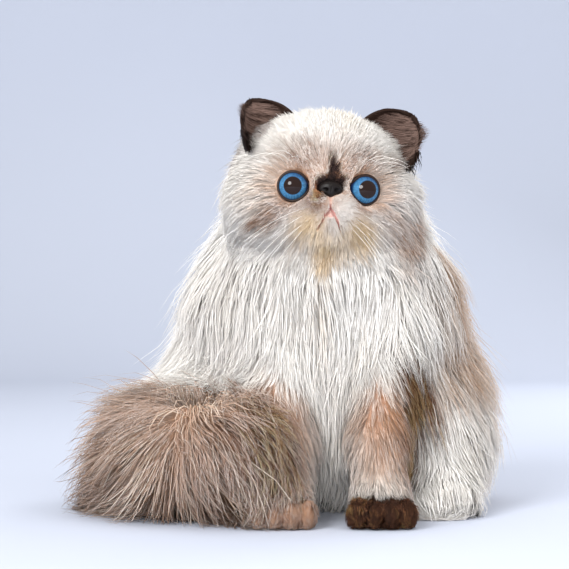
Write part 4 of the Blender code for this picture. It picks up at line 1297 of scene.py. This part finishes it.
def build_ear_hair(material):
    """Short dark fur on both faces of each ear, with long wisps from inside and at the outer root."""
    draw = np.random.default_rng(sizes().seed + 2)
    for side in (0, 1):
        s = SIGNS[side]
        place = np.array(ear_matrix(side))
        count = EAR_TUFTS
        across, up = draw.uniform(-1, 1, count), draw.uniform(0.02, 0.97, count) ** 1.15
        flat = ear_point(across, up)
        step = 0.02
        du = unit(ear_point(np.clip(across + step, -1, 1), up) - ear_point(np.clip(across - step, -1, 1), up))
        dv = unit(ear_point(across, np.clip(up + step, 0, 1)) - ear_point(across, np.clip(up - step, 0, 1)))
        out = unit(np.cross(du, dv))
        front = draw.random(count) < 0.55
        out = np.where((out[:, 1] < 0)[:, None] == front[:, None], out, -out)
        short = 1 - 0.65 * ramp(up, 0.55, 0.95)
        length = draw.uniform(5.0, 8.5, count) * short
        edge = np.maximum(ramp(abs(across), 0.72, 0.9), ramp(up, 0.78, 0.92))
        wisp = front & (edge < 0.5) & (draw.random(count) < 0.4)
        length = np.where(wisp, draw.uniform(11, 21, count) * short, length)
        outer = (across * s > 0.8) & (up < 0.5)
        length = np.where(outer, draw.uniform(9, 16, count), length)
        length = np.where(outer & (draw.random(count) < 0.07), draw.uniform(22, 31, count), length)
        aside = np.where(front, 0.9, 0.15) + np.where(outer, 0.8, 0)
        way = unit(dv * np.where(outer, 0.1, 0.6)[:, None] + du * (s * aside)[:, None])
        t = np.linspace(0, 1, 4)[None, :, None]
        raised = np.where(wisp, 0.45, 0.22)[:, None]
        local = flat + out * (EAR_WALL / 2 - 0.3)
        paths = local[:, None] + (way + out * raised)[:, None] * length[:, None, None] * t
        paths = paths - out[:, None] * (length * 0.2)[:, None, None] * t**2
        paths[:, :, 2] -= (np.where(outer, 0.35, 0.0) * length)[:, None] * t[:, :, 0] ** 2
        world = carried(paths, place)
        ups = unit(out @ place[:3, :3].T)[:, None].repeat(4, axis=1)
        width = np.where(wisp, 0.45, 0.7) * MM * draw.uniform(0.7, 1.2, count)
        tone = draw.normal(0.62, 0.24, count) + np.where(wisp, 0.15, 0)
        tone = np.clip(tone - edge * 0.55 - np.where(front, 0, 0.35), 0, 1)
        roots = world[:, 0]
        unwrap = round_axis(roots.mean(axis=0))
        mesh = tuft_mesh("ear_hair", world, ups, width, tone, roots, unwrap, 0.4)
        thing = object_of(f"coat_ear_{SIDES[side]}", mesh, material)
        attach(thing, BODY)


def ear_hair_material():
    tree = Tree("cat_ear_hair")
    tone = tree.stored("tone", 2)
    base = tree.mix(tone.between(0.25, 1.0), colour("seal"), colour("ash"))
    return tree.finish(base, 0.65, 0.2)


# Stage


def light(name, place, aim, size, power, shines):
    lamp = bpy.data.lights.new(name, "AREA")
    lamp.shape, lamp.size, lamp.energy = "DISK", size, power
    thing = bpy.data.objects.new(name, lamp)
    thing.location = place
    thing.rotation_euler = (Vector(place) - Vector(aim)).to_track_quat("Z", "Y").to_euler()
    thing.visible_glossy = shines
    bpy.context.scene.collection.objects.link(thing)


CAMERA_PLACE = (-0.0334, -1.59, 0.19)
CAMERA_PITCH = math.radians(90 - 0.654)
CAMERA_LENS = 127.5
FLOOR_WIDE, FLOOR_DEEP, FLOOR_BEND, FLOOR_TOP = 3.0, 2.2, 0.6, 2.2
WORLD_STRENGTH = 0.85
# Name, place, aim, size in metres, power in watts, and whether it shows in glossy surfaces
LIGHTS = (
    ("key", (-1.0, -1.8, 1.15), (0, -0.05, 0.15), 1.1, 56, True),
    ("fill", (1.5, -1.2, 0.9), (0, -0.05, 0.15), 1.6, 20, False),
    ("front", (0.1, -2.2, 0.35), (0, -0.05, 0.15), 1.2, 26, False),
    ("top", (0.0, 0.3, 1.9), (0, 0, 0.1), 1.6, 9, False),
    ("rim", (0.9, 1.3, 1.0), (0, 0, 0.15), 0.9, 16, False),
)


def build_stage():
    mesh = bpy.data.meshes.new("floor")
    curve = [(-FLOOR_DEEP, 0.0)]
    for angle in (math.radians(a) for a in range(0, 91, 6)):
        back = FLOOR_DEEP - FLOOR_BEND + FLOOR_BEND * math.sin(angle)
        curve.append((back, FLOOR_BEND - FLOOR_BEND * math.cos(angle)))
    curve.append((FLOOR_DEEP, FLOOR_TOP))
    points = [(x, y, z) for x in (-FLOOR_WIDE, FLOOR_WIDE) for y, z in curve]
    count = len(curve)
    mesh.from_pydata(points, [], [(i, i + count, i + count + 1, i + 1) for i in range(count - 1)])
    mesh.shade_smooth()
    matt = plain_material("studio_floor", colour("floor"), 0.85, 0.1, 4.0, 0.0, 0.03)
    floor = object_of("studio_floor", mesh, matt)
    for settings in LIGHTS:
        light(*settings)
    world = bpy.context.scene.world or bpy.data.worlds.new("studio")
    bpy.context.scene.world = world
    world.use_nodes = True
    background = world.node_tree.nodes["Background"]
    background.inputs[0].default_value = tint(240, 239, 238)
    background.inputs[1].default_value = WORLD_STRENGTH
    camera = bpy.data.cameras.new("camera")
    camera.lens, camera.sensor_width = CAMERA_LENS, 36
    thing = bpy.data.objects.new("camera", camera)
    thing.location, thing.rotation_euler = CAMERA_PLACE, (CAMERA_PITCH, 0, 0)
    bpy.context.scene.collection.objects.link(thing)
    bpy.context.scene.camera = thing
    bpy.context.scene.view_settings.view_transform = "Standard"


# Operators


class CAT_OT_stage(bpy.types.Operator):
    """Adds the studio floor, the lights and the camera"""

    bl_idname = "cat.stage"
    bl_label = "Stage"

    def execute(self, context):
        build_stage()
        return {"FINISHED"}


class CAT_OT_skin(bpy.types.Operator):
    """Builds one skin over all the flesh, and the ears"""

    bl_idname = "cat.skin"
    bl_label = "Skin"

    def execute(self, context):
        build_skin()
        leather = plain_material("cat_ear_skin", colour("seal"), 0.7, 0.2, 220.0)
        for side in (0, 1):
            build_ear(side, leather)
        return {"FINISHED"}


class CAT_OT_features(bpy.types.Operator):
    """Builds the eyes, their lids and the nose"""

    bl_idname = "cat.features"
    bl_label = "Eyes and nose"

    def execute(self, context):
        eyes = eye_material()
        for side in (0, 1):
            build_eye(side, eyes)
        build_lids(plain_material("cat_lids", colour("seal"), 0.5, 0.3, 500.0, 0.0003))
        build_nose(plain_material("cat_nose", colour("black"), 0.45, 0.25, 1100.0, 0.0004))
        return {"FINISHED"}


class CAT_OT_coat(bpy.types.Operator):
    """Grows the coat over the skin and on the ears"""

    bl_idname = "cat.coat"
    bl_label = "Coat"

    def execute(self, context):
        build_coat(bpy.data.objects["skin"], coat_material())
        build_ear_hair(ear_hair_material())
        return {"FINISHED"}


class CAT_OT_whiskers(bpy.types.Operator):
    """Sets the whiskers and the brow hairs"""

    bl_idname = "cat.whiskers"
    bl_label = "Whiskers"

    def execute(self, context):
        build_whiskers(plain_material("cat_whisker", colour("white"), 0.4, 0.4))
        return {"FINISHED"}


class CAT_PT_panel(bpy.types.Panel):
    """Lists the cat's pieces in the sidebar"""

    bl_label = "Cat"
    bl_space_type = "VIEW_3D"
    bl_region_type = "UI"
    bl_category = "Cat"

    def draw(self, context):
        for name in STEPS:
            self.layout.operator(f"cat.{name}")


STEPS = ("stage", "skin", "features", "coat", "whiskers")
CLASSES = (
    CatColours, CatSizes, CAT_OT_stage, CAT_OT_skin, CAT_OT_features, CAT_OT_coat, CAT_OT_whiskers,
    CAT_PT_panel,
)


def register():
    for made in CLASSES:
        bpy.utils.register_class(made)
    bpy.types.Scene.cat_colours = bpy.props.PointerProperty(type=CatColours)
    bpy.types.Scene.cat_sizes = bpy.props.PointerProperty(type=CatSizes)


def unregister():
    del bpy.types.Scene.cat_colours
    del bpy.types.Scene.cat_sizes
    for made in reversed(CLASSES):
        bpy.utils.unregister_class(made)


def main():
    register()
    for name in STEPS:
        getattr(bpy.ops.cat, name)()


if __name__ == "__main__":
    main()
